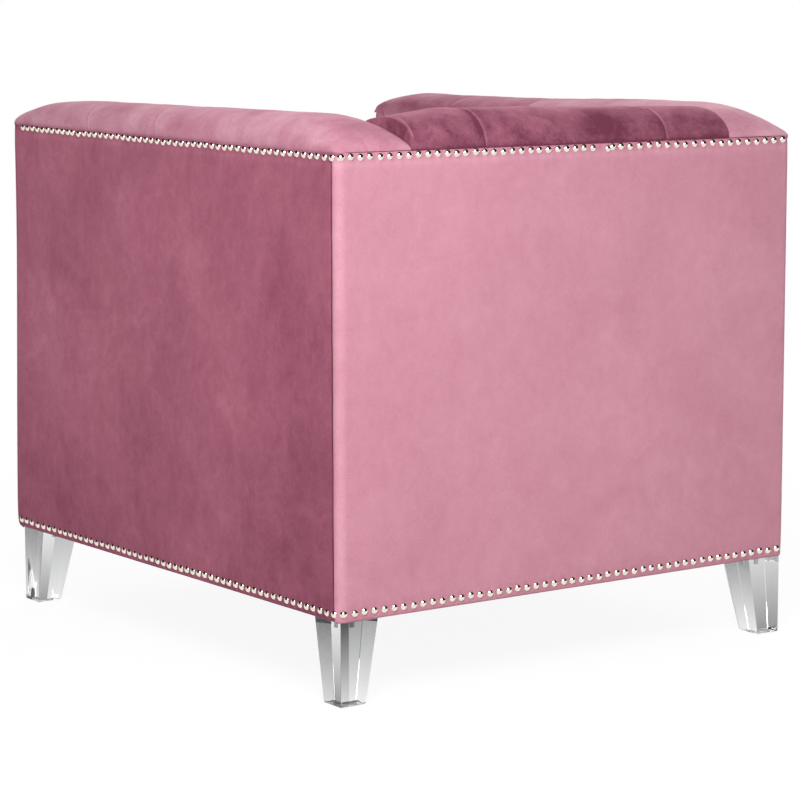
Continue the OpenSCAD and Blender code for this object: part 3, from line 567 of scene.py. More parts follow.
SIDE_TOP, SIDE_LOW = row_of(33 - HALF_D, NAIL_REAR_Y), row_of(17 - HALF_D, NAIL_REAR_Y)
SEAM_W = 4
SIDE_COLS = steps((SIDE_START_Y, SIDE_START_Y + SEAM_W, 0.8),
                  (SIDE_START_Y + SEAM_W, SIDE_SEAM_Y - SEAM_W, GRID),
                  (SIDE_SEAM_Y - SEAM_W, SIDE_SEAM_Y, 0.8))


def side_place(y, h):
    z = BODY_Z + h / PANEL_H * (edge_at(y) - BODY_Z)
    out, tone = panel_out(y, h, SIDE_TOP, SIDE_LOW, 400, y, z)
    out, tone = sewn(out, tone, fade(SIDE_SEAM_Y - y, 1.6) + fade(y - SIDE_START_Y, 1.4), z)
    # Painted shade: the side is darker towards the bottom and towards the rear.
    tone -= 0.42 * smooth((300 - h) / 260) + 0.26 * smooth((y - 150) / 220) + 0.05
    return HALF_W + out, y + rake(y, z), z, tone


side = bent_grid(SIDE_COLS, PANEL_ROWS, side_place)
finish_pair("outer_side", "_cover", side, "velvet_side", 1.0, wall=CLOTH)
print("side grid", len(SIDE_COLS), "by", len(PANEL_ROWS))

# %% [markdown]
# ### The back
# The back's cover turns round both rear corners and is sewn to the sides just past the
# bend. Its grid runs along that bent path: a short flat on each side, two quarter circles
# and the long flat between them.

# %% Back panel
LAP, CORNER = HALF_D - CORNER_R - SIDE_SEAM_Y, CORNER_R * pi / 2
BEND = LAP + CORNER
FLAT = 2 * (HALF_W - CORNER_R)
BACK_LEN = 2 * BEND + FLAT
BACK_ROW = row_of(-HALF_W + 8, HALF_W - 8)
BACK_LIFT = 0.8
BACK_COLS = steps((0, SEAM_W, 0.7), (SEAM_W, BEND, 1.6), (BEND, BEND + FLAT, GRID),
                  (BEND + FLAT, BACK_LEN - SEAM_W, 1.6), (BACK_LEN - SEAM_W, BACK_LEN, 0.7))


def back_place(s, h):
    x, y, out_x, out_y = path_point(s, HALF_W, SIDE_SEAM_Y, pi / 2, (LAP, 0), (CORNER, CORNER_R), (FLAT, 0),
                                    (CORNER, CORNER_R), (LAP, 0))
    bend = min(s, BACK_LEN - s)
    z = BODY_Z + h + BACK_LIFT * smooth((h - TOP_NAIL) / NAIL_DROP) * smooth((bend - 14) / 14)
    z -= 1.5 * smooth((h - TOP_NAIL - 1) / 4) * smooth((22 - bend) / 12) * smooth(bend / 8)
    out, tone = panel_out(x, h, BACK_ROW, BACK_ROW, x, y, z)
    out *= 0.35 + 0.65 * smooth((bend - 8) / 60)
    out, tone = sewn(out, tone, fade(bend, 1.6), z)
    # Painted highlight along the bend round each rear corner.
    tone += 0.5 * bell(bend, 11, 7) * (0.6 + 0.8 * ripple(0, 0, z, 26, 4.4))
    return x + out_x * out, y + out_y * out, z, tone


back = bent_grid(BACK_COLS, PANEL_ROWS, back_place)
finish_piece("outer_back_cover", back, "velvet_back", "outer_back", 1.0, wall=CLOTH)
print("back grid", len(BACK_COLS), "by", len(PANEL_ROWS))

# %% [markdown]
# ### The front of the arms and the seat
# The photograph shows only the back of the chair. Its front follows the usual build of this
# kind of chair: a flat panel closes each arm, and a border with a soft rolled edge runs
# under the cushion. Both have the same nails along the bottom.

# %% Arm fronts
FRONT_H = edge_at(-HALF_D) - BODY_Z
FRONT_TOP_ENDS, FRONT_LOW_ENDS = (ARM_IN_X + 8, HALF_W - 14), (-HALF_W + 14, HALF_W - 14)
FRONT_TOP, FRONT_LOW = row_of(*FRONT_TOP_ENDS), row_of(*FRONT_LOW_ENDS)
OUT_R, IN_R = 6, 4
FRONT_FLAT = HALF_W - ARM_IN_X - IN_R - OUT_R
FRONT_LEN = (IN_R + OUT_R) * pi / 2 + FRONT_FLAT


def arm_front_place(s, h):
    x, y, out_x, out_y = path_point(s, ARM_IN_X, IN_R - HALF_D, -pi / 2, (IN_R * pi / 2, IN_R),
                                    (FRONT_FLAT, 0), (OUT_R * pi / 2, OUT_R))
    z = BODY_Z + h / PANEL_H * FRONT_H
    out, tone = panel_out(x, h, FRONT_TOP, FRONT_LOW, x, y, z)
    edge = min(s, FRONT_LEN - s)
    rim = fade(edge, 1.2)
    out = out * (0.3 + 0.7 * smooth((edge - 4) / 22)) - 0.9 * rim
    # The rim has painted shade in its groove at each end.
    return x + out_x * out, y + out_y * out + rake(y, z), z, tone - 0.5 * rim


front_cols = steps((0, 7, 1), (7, FRONT_LEN - 10, GRID), (FRONT_LEN - 10, FRONT_LEN, 1))
finish_pair("arm_front", "_cover", bent_grid(front_cols, PANEL_ROWS, arm_front_place), "velvet_front", 1.0,
            wall=CLOTH)
print("arm front length", round(FRONT_LEN, 1))

# %% [markdown]
# The border is padded over the front rail. Its grid runs up the face, round a quarter of the
# roll, and back to where the deck begins.

# %% Front border
ROLL_R = 16
ROLL_Z = DECK_TOP_Z - ROLL_R
RISE, ARC, DECK_LAP = ROLL_Z - BODY_Z, ROLL_R * pi / 2, 16


def border_place(x, s):
    """Up the face, round the roll and back to the deck; s is the distance from the bottom."""
    edge = ARM_IN_X - abs(x)
    forward, z, out_y, out_z = path_point(s, HALF_D, BODY_Z, pi / 2, (RISE, 0), (ARC, ROLL_R), (DECK_LAP, 0))
    out, tone = 0.0, 0.0
    if s < RISE:
        low, near = fade(s - LOW_NAIL, TUCK), puff(x, *FRONT_LOW)
        out = 1.5 * (1 - fade(max(0, s - LOW_NAIL), SWELL_REACH)) * smooth((RISE - s) / 60)
        out += 0.5 * low * near + 0.4 * ripple(x, 0, z, 80, 2.2) - round_in(s, ROUND)
        # Painted shade in the dimples at the nails.
        tone = -0.4 * low * (1 - near)
    out += 0.3 * ripple(x, 5, s, 22, 9.1) * smooth((s - 150) / 40) - 1.6 * fade(edge, 2.2)
    y = -forward
    # Painted shade where the border meets the arm pads.
    return x, y - out_y * out + rake(y, z), z + out_z * min(out, 0.2), tone - 0.5 * fade(edge, 2)


border_rows = steps((0, 24, 1.5), (24, 160, 12), (160, RISE + ARC, 3),
                    (RISE + ARC, RISE + ARC + DECK_LAP, 4))
border_cols = steps((-ARM_IN_X, 5 - ARM_IN_X, 1), (5 - ARM_IN_X, ARM_IN_X - 5, GRID),
                    (ARM_IN_X - 5, ARM_IN_X, 1))
finish_piece("front_border_cover", bent_grid(border_cols, border_rows, border_place), "velvet_front",
             "front_border", 0.8, wall=3)
print("border rows", len(border_rows))

# %% [markdown]
# ## The tufted pads
# A pad is foam under velvet, pulled back by buttons. The cloth has too much length for the
# shortened foam, so it is folded into pleats: straight ones from the top buttons over the
# roll to the nails, and crossed ones between the rows of buttons. A pleat is a fold, not a
# valley: on one side of a sharp crease the cloth stands up as a soft lip.
# Cloth simulation makes such folds only by luck, so the pads are a closed grid, pushed in
# by two smooth functions: one for pleats and one for buttons.

# %% Pleats and buttons
ROLL_FULL = 2.2
PLEAT_DEEP, BUTTON_DEEP = 8.5, 11


def off_whole(v):
    """Signed distance from the nearest whole number."""
    return v - floor(v + 0.5)


def fold(s, depth, width=13.0, lip=1.6, crease=1.4, soft=1.0):
    """Depth and tone of a pleat at the signed distance s from its crease; soft widens the crease. Its tone is
    painted shade along the crease and beside it, and a painted highlight on the lip.
    """
    dip, s = depth * fade(s, width), s / soft
    line = bell(s, 0, 1.3)
    return (dip + crease * line - lip * bell(s, 3.6, 2.4),
            -1.0 * line + 0.8 * bell(s, 3.4, 1.9) - 0.3 * bell(s, -4, 4))


def tuft(p, z, first, pitch):
    """Depth and tone of the tufting on an inner face, at the place p along it; the tone has painted shade in
    each button's dimple.
    """
    turn = (p - first) / pitch
    if z >= BUTTON_Z:
        s, steep, soft = off_whole(turn) * pitch, 1.0, 1.2
    else:
        down = (BUTTON_Z - z) / ROW_DROP / 2
        s = min(off_whole(turn + down), off_whole(turn - down), key=abs) * pitch
        s *= ROW_DROP / hypot(ROW_DROP, pitch / 2)
        steep, soft = smooth((z - DECK_TOP_Z) / 70), 2.6
    dip, tone = fold(s, PLEAT_DEEP * steep, 17, 1.6 * steep, 1.4, soft)
    row = max(0, round((BUTTON_Z - z) / ROW_DROP))
    du = off_whole((p - first - (row % 2) * pitch / 2) / pitch) * pitch
    dz = BUTTON_Z - row * ROW_DROP - z
    reach = hypot(du, dz)
    if row > 1:
        return dip, tone
    if reach > 1:
        rays = ripple(du / reach * 14, dz / reach * 14, reach * 0.3, 4, 6.5 + row) * smooth(reach / 12)
        dip += 1.4 * rays * fade(reach, 22)
        tone += 0.5 * rays * fade(reach, 20)
    pull = bell(reach, 0, 26)
    return dip + BUTTON_DEEP * pull, tone * (1 - 0.5 * pull) - 0.35 * bell(reach, 0, 15)


def end_share(d, length, full=ROLL_FULL):
    """How much of its height a roll has at the distance d from its end."""
    return 1.0 if d >= length else max(0.0, 1 - (1 - d / length) ** full) ** (1 / full)


def roll_point(turn, half, base, high, dip, wave, nail_puff):
    """Across and up on a roll, at an angle of 0 at the nails and 180 at the inner face."""
    c, s = (abs(f(radians(turn))) ** (2 / ROLL_FULL) for f in (cos, sin))
    outer = turn <= 90
    low = 0.0 if outer else 0.5 * high
    across = (half + wave - 0.6 * dip) * c if outer else (dip - half - wave) * c
    return across + nail_puff * fade(turn, TUCK) * 0.4, base + low + (high - low - dip + wave) * s


def crowded(marks, low, high, fine=1.2, wide=3.6, reach=9):
    """Spacing that is fine near the marks and wide between them."""
    stretches, at = [], low
    for mark in sorted(marks):
        if mark - reach > at:
            stretches.append((at, mark - reach, wide))
            at = mark - reach
        end = min(high, mark + reach)
        stretches.append((at, end, fine))
        at = end
    if at < high:
        stretches.append((at, high, wide))
    return steps(*stretches)


def closed_pad(cols, ring, place):
    """A grid round the ring, whose last row meets its first, with its two ends closed."""
    ring = ring + ring[:1]
    return closed(bent_grid(cols, range(len(ring)), lambda u, j: place(u, *ring[j])))


ROLL_AND_FACE = [("roll", a) for a in steps((0, 12, 1.2), (12, 180, 4))]
ROLL_AND_FACE += [("face", z) for z in steps((EDGE_Z - 2, BUTTON_Z - 120, 3.2),
                                             (BUTTON_Z - 120, DECK_TOP_Z + 6, 4.5))]
print("crease depth", round(fold(0, PLEAT_DEEP)[0], 1), "mm")

# %% [markdown]
# ### The arm pads
# The grid goes along the arm and round the pad: from the lip at the nails over the roll,
# down the inner face to the deck, and back behind. The lip laps a few millimetres over the
# side's cloth, and at the back corner it climbs to the back's edge. The pleats lean
# rearwards between the crown and the nails, so the columns lean with them and each crease
# follows one column. The right arm is a mirror image with its own waves and a lower crown,
# because two hand-made arms are never quite alike.

# %% Arm pads
LIP_OUT = 1.1
ARM_HALF = (HALF_W + LIP_OUT - ARM_IN_X) / 2
ARM_MID_X = ARM_IN_X + ARM_HALF
FRONT_ROUND, REAR_ROUND, REAR_FULL = 74, 130, 1.74
FRONT_END_H, REAR_END_H = 12, 1.5
ARM_BACK_Y = WEB_TOP_Y - CLEAR
DRIFT = 25
PLEATS = {0: 0.6, 1: 0.6, 2: 0.16}  # how strongly each of an arm's pleats shows on the roll
LIP_ROWS = ((-0.9, -3.0), (-0.2, -2.6), (0.0, -1.4))


def arm_high(y, base, right):
    """Height of an arm's roll over its base."""
    crown = CROWN_Z - 1.2 - right * 4.3 * smooth((200 - y) / 300) * smooth((y + 430) / 120)
    crown -= 6.2 * (1 - smooth((y + HALF_D) / (150 - 50 * right)))
    if y < 0:
        end, share = FRONT_END_H, end_share(HALF_D + y - 2, FRONT_ROUND)
    else:
        end, share = REAR_END_H, end_share(HALF_D - y - 2, REAR_ROUND, REAR_FULL)
    return end + (crown - base - end) * share


def arm_window(y):
    """1 along an arm, falling to 0 at its ends, where the pleats' lean dies out."""
    return smooth((y + 425) / 120) * smooth((400 - y) / 120)


def arm_place(y, kind, value, right):
    seed = 40 * right
    base = edge_at(y) + CLEAR + BACK_LIFT * smooth((y - 408) / 22)
    corner = max(round_in(HALF_D - y, CORNER_R), round_in(HALF_D + y, 7))
    inner = BOARD_X - CLEAR
    if kind == "lip":
        out, up = LIP_ROWS[value]
        y_leant = y + DRIFT * arm_window(y) + rake(y, base)
        # The lip carries painted shade.
        return HALF_W + LIP_OUT + out - corner, y_leant, edge_at(y) + up, -0.6
    if kind == "roll":
        high = arm_high(y, base, right)
        turn = (y - ARM_FIRST_Y) / ARM_PITCH
        dip, tone = fold(off_whole(turn) * ARM_PITCH, 1.8 + 4.6 * smooth((value - 75) / 100), 11, 1.2)
        strength = PLEATS.get(floor(turn + 0.5), 0.0) * (1 + 0.7 * smooth((value - 90) / 60))
        strength *= high / (CROWN_Z - EDGE_Z) * (0.6 + 0.4 * smooth(value / 40))
        wave = 0.9 * ripple(300, y, value, 70, 2.7 + seed) + 0.4 * ripple(300, y, value * 0.6, 24, 8.3 + seed)
        x, z = roll_point(value, ARM_HALF - (corner if value <= 90 else 0), base, high, dip * strength,
                          wave * smooth(value / 30), puff(y, *SIDE_TOP))
        x += ARM_MID_X
        # Painted shade at the lip's edge and towards the rear end by the back pad, and painted light along
        # each arm: the right one darker at the front and lighter towards the rear, the left one lighter all
        # along, a little less towards the rear. The ripple is random tone.
        tone = tone * min(1.0, strength * 1.2) - 0.7 * exp(-value / 2.2)
        tone += 0.45 * ripple(x, y, z * 0.4, 46, 1.9 + seed) * smooth(value / 25)
        tone -= 0.3 * smooth((y - 330) / 60) * smooth((value - 50) / 40)
        tone += max(-0.45, min(0.8, (y - 13) / 343)) if right else 0.3 - 0.15 * smooth((y - 200) / 200)
        return x, y + DRIFT * max(0, 1 - value / 90) ** 1.3 * arm_window(y) + rake(y, z), z, tone
    whole = SIDE_START_Y <= y <= ARM_BACK_Y
    if kind == "face":
        if not whole:
            return ARM_IN_X + (inner - ARM_IN_X) * (EDGE_Z - value) / 420, y, base, 0.0
        dip, tone = tuft(y, value, ARM_FIRST_Y, ARM_PITCH)
        wave = 0.7 * ripple(200, y, value, 55, 3.3 + seed) + 0.3 * ripple(200, y, value, 18, 1.1 + seed)
        return ARM_IN_X + dip + wave * 0.5 + 0.4, y + rake(y, value), value, tone
    depth, level = value  # 0 behind the pad, 1 at its face, 2 over the board; at the deck or the edge
    if depth == 2:
        return HALF_W - 17, y + rake(y, base), base, 0.0
    if not whole:
        return inner - 0.5 * depth, y, base, 0.0
    z = base if level else DECK_TOP_Z + CLEAR
    return (inner, ARM_IN_X)[depth], y + rake(y, z), z, 0.0


arm_cols = steps((-433, -427.2, 0.8))
arm_cols += crowded([ARM_FIRST_Y + k * ARM_PITCH for k in PLEATS], SIDE_START_Y, ARM_BACK_Y)
arm_cols += steps((ARM_BACK_Y + 0.5, 400, 3), (400, 433, 1.5))
arm_ring = [("lip", k) for k in range(len(LIP_ROWS))] + ROLL_AND_FACE
arm_ring += [("shut", corner) for corner in ((1, 0), (0, 0), (0, 1), (2, 1))]
arm, other_arm = (closed_pad(arm_cols, arm_ring, lambda *spot: arm_place(*spot, right)) for right in (0, 1))
print("arm pad", len(arm.faces), "faces, open edges", sum(e.is_boundary for e in arm.edges))
finish_pair("arm_pad", "_velvet", arm, "velvet_arm_pad", 0.8, mirrored(other_arm), crease=60)

# %% [markdown]
# ### The back pad
# The back pad sits between the arm pads. Its roll is the arms' roll turned by a quarter,
# its ends round down where they meet the arms, and its inner face slopes to the deck. Its
# pile is brushed two ways, which leaves a dark patch with a crisp upper edge on each side of
# the right pleat, and a few fine folds lie beside that pleat near the crown.

# %% Back pad
LIP_IN = 2
BACK_HALF = (HALF_D - BACK_IN_Y - LIP_IN) / 2
BACK_MID_Y = HALF_D - LIP_IN - BACK_HALF
BACK_END_X = 276.7
BACK_SLOPE = (BACK_IN_Y - BACK_FOOT_Y) / (EDGE_Z - DECK_TOP_Z)
FINE_FOLDS = ((11, 0.9), (17, 0.7), (24, 0.5))  # distance from the right pleat, and strength


def back_face_y(z):
    """Place of the back's inner face at the height z."""
    return BACK_IN_Y - (EDGE_Z - z) * BACK_SLOPE


def back_crown(x):
    """Height of the back's crown: a little higher on the left, and lower at both ends."""
    level = CROWN_Z + 1.3 + 0.0185 * x
    d = BACK_END_X - abs(x)
    if x > 0:
        return level - 13 * max(0.0, 1 - d / 107) ** 1.3
    return level - 7 * (1 - end_share(d, 40))


def brushed(x, value):
    """Tone of the two dark patches on the outer side of the back's roll."""
    reach = 50 - 15 * ((x + 82) / 66) ** 2 if x > -158 else 52 - 22 * ((x + 196) / 80) ** 2
    side = smooth((-12 - x) / 22) * (1 - 0.75 * bell(x, -158, 5))
    return -0.12 * side * smooth((reach + 5 * ripple(x, value, 0, 16, 6.6) - value) / 9)


def back_pad_place(x, kind, value):
    if kind == "roll":
        base = EDGE_Z + BACK_LIFT - 0.5
        rise = min(1.0, value / 90)
        shift = (-0.6 + 5.6 * rise) if x > 0 else (-3.6 + 4.6 * rise)
        gap = -off_whole((x - shift - BACK_FIRST_X) / BACK_PITCH) * BACK_PITCH
        dip, tone = fold(gap, 2 + 5 * smooth((value - 80) / 100), 10, 1.0, 1.6)
        strength = 0.7 + 0.3 * smooth(value / 30)
        dip, tone = dip * strength, min(tone, 0.45 * tone) * strength
        # Each fine fold is a small dip with painted shade in it.
        for place, size in FINE_FOLDS if x < 0 else ():
            crease = bell(x + 156 - shift, place + 0.06 * value, 1.5) * size
            crease *= smooth((value - 50) / 20) * smooth((110 - value) / 15)
            dip, tone = dip + 0.7 * crease, tone - 0.6 * crease
        wave = 1.0 * ripple(x, 300, value, 58, 4.7) + 0.5 * ripple(x, 300, value * 0.6, 22, 0.3)
        y, z = roll_point(value, BACK_HALF, base, back_crown(x) - base, dip, wave * smooth(value / 30),
                          puff(x, *BACK_ROW))
        y += BACK_MID_Y
        # Painted highlight along the crown and random tone, then the brushed patches, painted shade at the
        # lip's edge and painted shade over the outer side of the roll.
        tone += 0.5 * bell(value, 88, 24) + 0.5 * ripple(x, y * 0.6, z * 0.4, 42, 6.1) * smooth(value / 20)
        tone += brushed(x, value) - 0.7 * exp(-value / 2.2)
        tone -= (0.5 + 0.2 * smooth((x - 20) / 170)) * smooth((135 - value) / 40)
        # A small ridge at the left end, with a painted highlight on it.
        fold_end = bell(x, 271, 1.7) * smooth((value - 12) / 20) * smooth((80 - value) / 10)
        return x, y, z + 0.8 * fold_end, tone + 0.8 * fold_end
    if kind == "face":
        dip, tone = tuft(x, value, BACK_FIRST_X, BACK_PITCH)
        wave = 0.7 * ripple(x, 200, value, 55, 5.3) + 0.3 * ripple(x, 200, value, 18, 2.1)
        return x, back_face_y(value) + dip + wave * 0.5 + 0.4, value, tone
    return x, *value, 0.0


back_cols = crowded((-BACK_FIRST_X, -136, BACK_FIRST_X, 268), -BACK_END_X, BACK_END_X, 1.1, 3.2, 12)
back_ring = ROLL_AND_FACE + [("shut", corner) for corner in (
    (BACK_FOOT_Y, DECK_TOP_Z + CLEAR), (BACK_FOOT_Y + 34.7, DECK_TOP_Z + CLEAR),
    (WEB_TOP_Y - 2.3, EDGE_Z - 26), (WEB_TOP_Y - 2.3, EDGE_Z + CLEAR), (HALF_D - SKIN - 1, EDGE_Z + CLEAR))]
back_pad = closed_pad(back_cols, back_ring, back_pad_place)
print("back pad", len(back_pad.faces), "faces, open edges", sum(e.is_boundary for e in back_pad.edges))
finish_piece("back_pad_velvet", back_pad, "velvet_back_pad", "back_pad", 0.8, crease=60)

# %% [markdown]
# ### Covered buttons
# A covered button is a small dome of velvet with its edge tucked under. Its profile is spun
# once, and the same button is set into each dimple, square to the face behind it.

# %% Buttons
def spun(outline, sides):
    """A (radius, height) outline spun about Z."""
    bm = bmesh.new()
    verts = [bm.verts.new((r * MM, 0, z * MM)) for r, z in outline]
    edges = [bm.edges.new(pair) for pair in zip(verts, verts[1:])]
    bmesh.ops.spin(bm, geom=verts + edges, cent=(0, 0, 0), axis=(0, 0, 1), angle=2 * pi, steps=sides,
                   use_merge=True)
    bmesh.ops.remove_doubles(bm, verts=bm.verts, dist=0.00001)
    return bm


def set_pieces(shape, places):
    """One bmesh with a copy of the shape at each matrix."""
    bm = bmesh.new()
    for place in places:
        before = len(bm.verts)
        bm.from_mesh(shape)
        bm.verts.ensure_lookup_table()
        bmesh.ops.transform(bm, matrix=place, verts=bm.verts[before:])
    return bm


def button_at(x, y, z, angle, axis):
    """The matrix of a button, its outward side turned from up to an angle about an axis."""
    return Matrix.Translation(Vector((x, y, z)) * MM) @ Matrix.Rotation(angle, 4, axis)


BUTTON = ((0, 0), (9.6, 0), (11.6, 1.1), (12, 2.6), (11.4, 4.4), (9.4, 6.2), (6.4, 7.4), (3, 7.9), (0, 8))
button_bm = spun(BUTTON, 28)
tone = button_bm.verts.layers.float.new("tone")
for vert in button_bm.verts:
    # Random tone, and painted shade round the tucked edge.
    vert[tone] = 0.5 * ripple(vert.co.x * 1000, vert.co.y * 1000, 0, 7) - 0.3 * (vert.co.z < 0.003)
button = mesh_of("button_shape", button_bm)
SEAT = PLEAT_DEEP + BUTTON_DEEP + 3.5  # a button's back stands this far behind the face
arm_buttons = [
    button_at(ARM_IN_X + SEAT, ARM_FIRST_Y + c * ARM_PITCH, BUTTON_Z - row * ROW_DROP, -pi / 2, "Y")
    for row, columns in enumerate(((0, 1, 2), (-0.5, 0.5, 1.5, 2.5))) for c in columns]
back_buttons = [button_at(x, back_face_y(z) + SEAT, z, pi / 2 - atan(BACK_SLOPE), "X") for x, z in (
    (-BACK_FIRST_X, BUTTON_Z), (BACK_FIRST_X, BUTTON_Z), (0, BUTTON_Z - ROW_DROP))]
finish_pair("buttons", "_covered", set_pieces(button, arm_buttons), "velvet_button", 1.0)
finish_piece("buttons_back_covered", set_pieces(button, back_buttons), "velvet_button", "buttons_back", 1.0)
print("buttons", 2 * len(arm_buttons) + len(back_buttons))

# %% [markdown]
# ### The deck under the cushion
# The foam pad on the springs has a decking cloth pulled over it. It shows when the cushion is
# lifted: its edges round down into the gap beside the pads, and the cloth ripples a little.
# It stays just below the cushion's underside.

# %% Deck
deck_low, deck_high = (Vector(corner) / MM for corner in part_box("deck_pad"))
DECK_DROP = 0.6  # the edge drops by this share of its rounding's radius
DECK_ROUND = 9


def deck_place(u, v):
    """Over the top for |u| and |v| up to 1, then down the sides and in under the pad."""
    half = (deck_high - deck_low) / 2
    mid = (deck_high + deck_low) / 2
    x, y = mid.x + half.x * max(-1, min(1, u)), mid.y + half.y * max(-1, min(1, v))
    inside = min(half.x - abs(x - mid.x), half.y - abs(y - mid.y))
    beyond = max(abs(u), abs(v)) - 1
    if beyond > 0:
        z = deck_high.z - DECK_DROP * DECK_ROUND - beyond * (2 * half.z - DECK_DROP * DECK_ROUND)
    else:
        sag = 0.35 * ripple(x, y, 0, 85, 5.5) - 0.35 + 0.2 * ripple(x, y, 0, 26, 1.4) - 0.2
        z = deck_high.z - DECK_DROP * round_in(inside, DECK_ROUND) + sag * smooth(inside / 20)
    return x, y, z, 0.0


deck_lines = [-2.0, -1.5] + steps((-1, -0.95, 0.008), (-0.95, 0.95, 0.028), (0.95, 1, 0.008)) + [1.5, 2.0]
deck = closed(bent_grid(deck_lines, deck_lines, deck_place))
print("deck faces", len(deck.faces))
finish_piece("deck_pad_cloth", deck, "deck_foam", "deck_pad", 0.9)

# %% [markdown]
# ## The loose cushion
# The cushion is a foam block in a sewn box cover. A box with rounded edges is filled by a
# cloth simulation: pressure swells the cover until its stretch holds it. The welted seams
# keep a box cushion's edges out, so the points along them and on the deck are held, and the
# top and sides swell between them. The remesh gives the simulation even faces. Piping and
# its seam come after it, because the remesh would wipe them out.

# %% Cushion
X0, X1, Y0, Y1, Z0, Z1 = -274.2, 274.2, -433.0, 198.0, 315.6, 460.6
CUSHION_MID = Vector(((X0 + X1) / 2, (Y0 + Y1) / 2, (Z0 + Z1) / 2))
EDGE_ROUND = 30
VOXEL, PRESSURE, FRAMES, CAP = 0.006, 4.0, 20, 0.024


def cushion_block():
    """A rounded block, a little smaller than the finished cushion."""
    bm = bmesh.new()
    bmesh.ops.create_cube(bm, size=1)
    size = (X1 - X0 - 8) * MM, (Y1 - Y0 - 8) * MM, (Z1 - Z0 - 3) * MM
    middle = (X0 + X1) / 2 * MM, (Y0 + Y1) / 2 * MM, (Z0 + Z1 - 1) / 2 * MM
    bmesh.ops.scale(bm, vec=size, verts=bm.verts)
    bmesh.ops.translate(bm, vec=middle, verts=bm.verts)
    for upright, radius, segments in ((True, EDGE_ROUND * MM, 6), (False, 0.006, 2)):
        edges = []
        for e in bm.edges:
            tall = abs(e.verts[0].co.z - e.verts[1].co.z)
            if tall > 0.05 if upright else tall < 1e-6 and e.calc_face_angle(0) > 1:
                edges.append(e)
        bmesh.ops.bevel(bm, geom=edges, offset=radius, offset_type="OFFSET", segments=segments, profile=0.5,
                        affect="EDGES", material=-1)
    return mesh_of("cushion_block", bm)


def inset(x, y):
    """How far a point in millimetres lies inside the block's rounded outline."""
    over_x = abs(x - (X0 + X1) / 2) - (X1 - X0) / 2 + 4 + EDGE_ROUND
    over_y = abs(y - (Y0 + Y1) / 2) - (Y1 - Y0) / 2 + 4 + EDGE_ROUND
    return EDGE_ROUND - hypot(max(0, over_x), max(0, over_y)) - min(max(over_x, over_y), 0)


def kept_in(p, sides, front, rear, below):
    """A point moved inside the cushion's box, less a margin on its sides, front, rear and underside."""
    x = min(X1 - sides, max(X0 + sides, p.x))
    return Vector((x, min(Y1 - rear, max(Y0 + front, p.y)), max(Z0 + below, p.z)))


def held(p):
    """True on the deck and along the top seam."""
    x, y, z = p / MM
    return z < Z0 + 3 or (z > Z1 - 9 and inset(x, y) < 8)


def as_shown(piece):
    """The piece's mesh with its modifiers applied; the modifiers are removed."""
    made = bpy.data.meshes.new_from_object(piece.evaluated_get(bpy.context.evaluated_depsgraph_get()))
    piece.modifiers.clear()
    return made


def swell(piece):
    """Remeshes a block, fills it by cloth simulation and keeps the result as plain mesh."""
    remesh = piece.modifiers.new("even faces", "REMESH")
    remesh.mode, remesh.voxel_size = "VOXEL", VOXEL
    piece.data = as_shown(piece)
    rest = [v.co.copy() for v in piece.data.vertices]
    cloth = piece.modifiers.new("filling", "CLOTH").settings
    cloth.use_pressure, cloth.uniform_pressure_force = True, PRESSURE
    cloth.effector_weights.gravity = 0
    cloth.quality, cloth.mass = 5, 0.3
    cloth.tension_stiffness = cloth.compression_stiffness = 30
    pins = piece.vertex_groups.new(name="held")
    pins.add([k for k, p in enumerate(rest) if held(p)], 1.0, "ADD")
    cloth.vertex_group_mass = "held"
    for number in range(1, FRAMES + 1):
        scene.frame_set(number)
    full = as_shown(piece)
    for vert, start in zip(full.vertices, rest):
        move = vert.co - start
        if move.length > CAP:
            vert.co = start + move.normalized() * CAP
    piece.vertex_groups.clear()
    piece.data = full
    scene.frame_set(1)


cushion = add_object("cushion_velvet", cushion_block())
swell(cushion)
print("cushion", len(cushion.data.vertices), "points")

# %% [markdown]
# The foam inside is the same shape, a few millimetres smaller all round, because a cover is
# cut to grip its foam.

# %% Cushion foam
FOAM_IN = 8
foam = bmesh.new()
foam.from_mesh(cushion.data)
foam.normal_update()
for vert in foam.verts:
    vert.co = kept_in((vert.co - vert.normal * FOAM_IN * MM) / MM, 5, 5, 5, 3) * MM
print("foam faces", len(foam.faces))
finish_piece("cushion_foam", foam, "foam_core", "cushion_core", 1.0, "seat_cushion")

# %% [markdown]
# The seam draws the filled cover in along its edges. Every point near a seam moves towards
# it, and the piping then lies in the groove. Last, the points are kept out of the pads
# round the cushion and off the deck below it.

# %% Cushion seams
SEAM_R, SEAM_IN, SEAM_POINTS = 28, 5, 360
ZIP_X, ZIP_Z = 216, 17


def seam_plan(share):
    """A point of the rounded rectangle that the seams follow, from a share of its length."""
    wide, deep = X1 - X0 - 2 * (SEAM_IN + SEAM_R), Y1 - Y0 - 2 * (SEAM_IN + SEAM_R)
    bend = (SEAM_R * pi / 2, SEAM_R)
    around = [(wide, 0), bend, (deep, 0), bend] * 2
    s = share * sum(length for length, radius in around)
    return path_point(s, X0 + SEAM_IN + SEAM_R, Y0 + SEAM_IN, 0, *around)[:2]


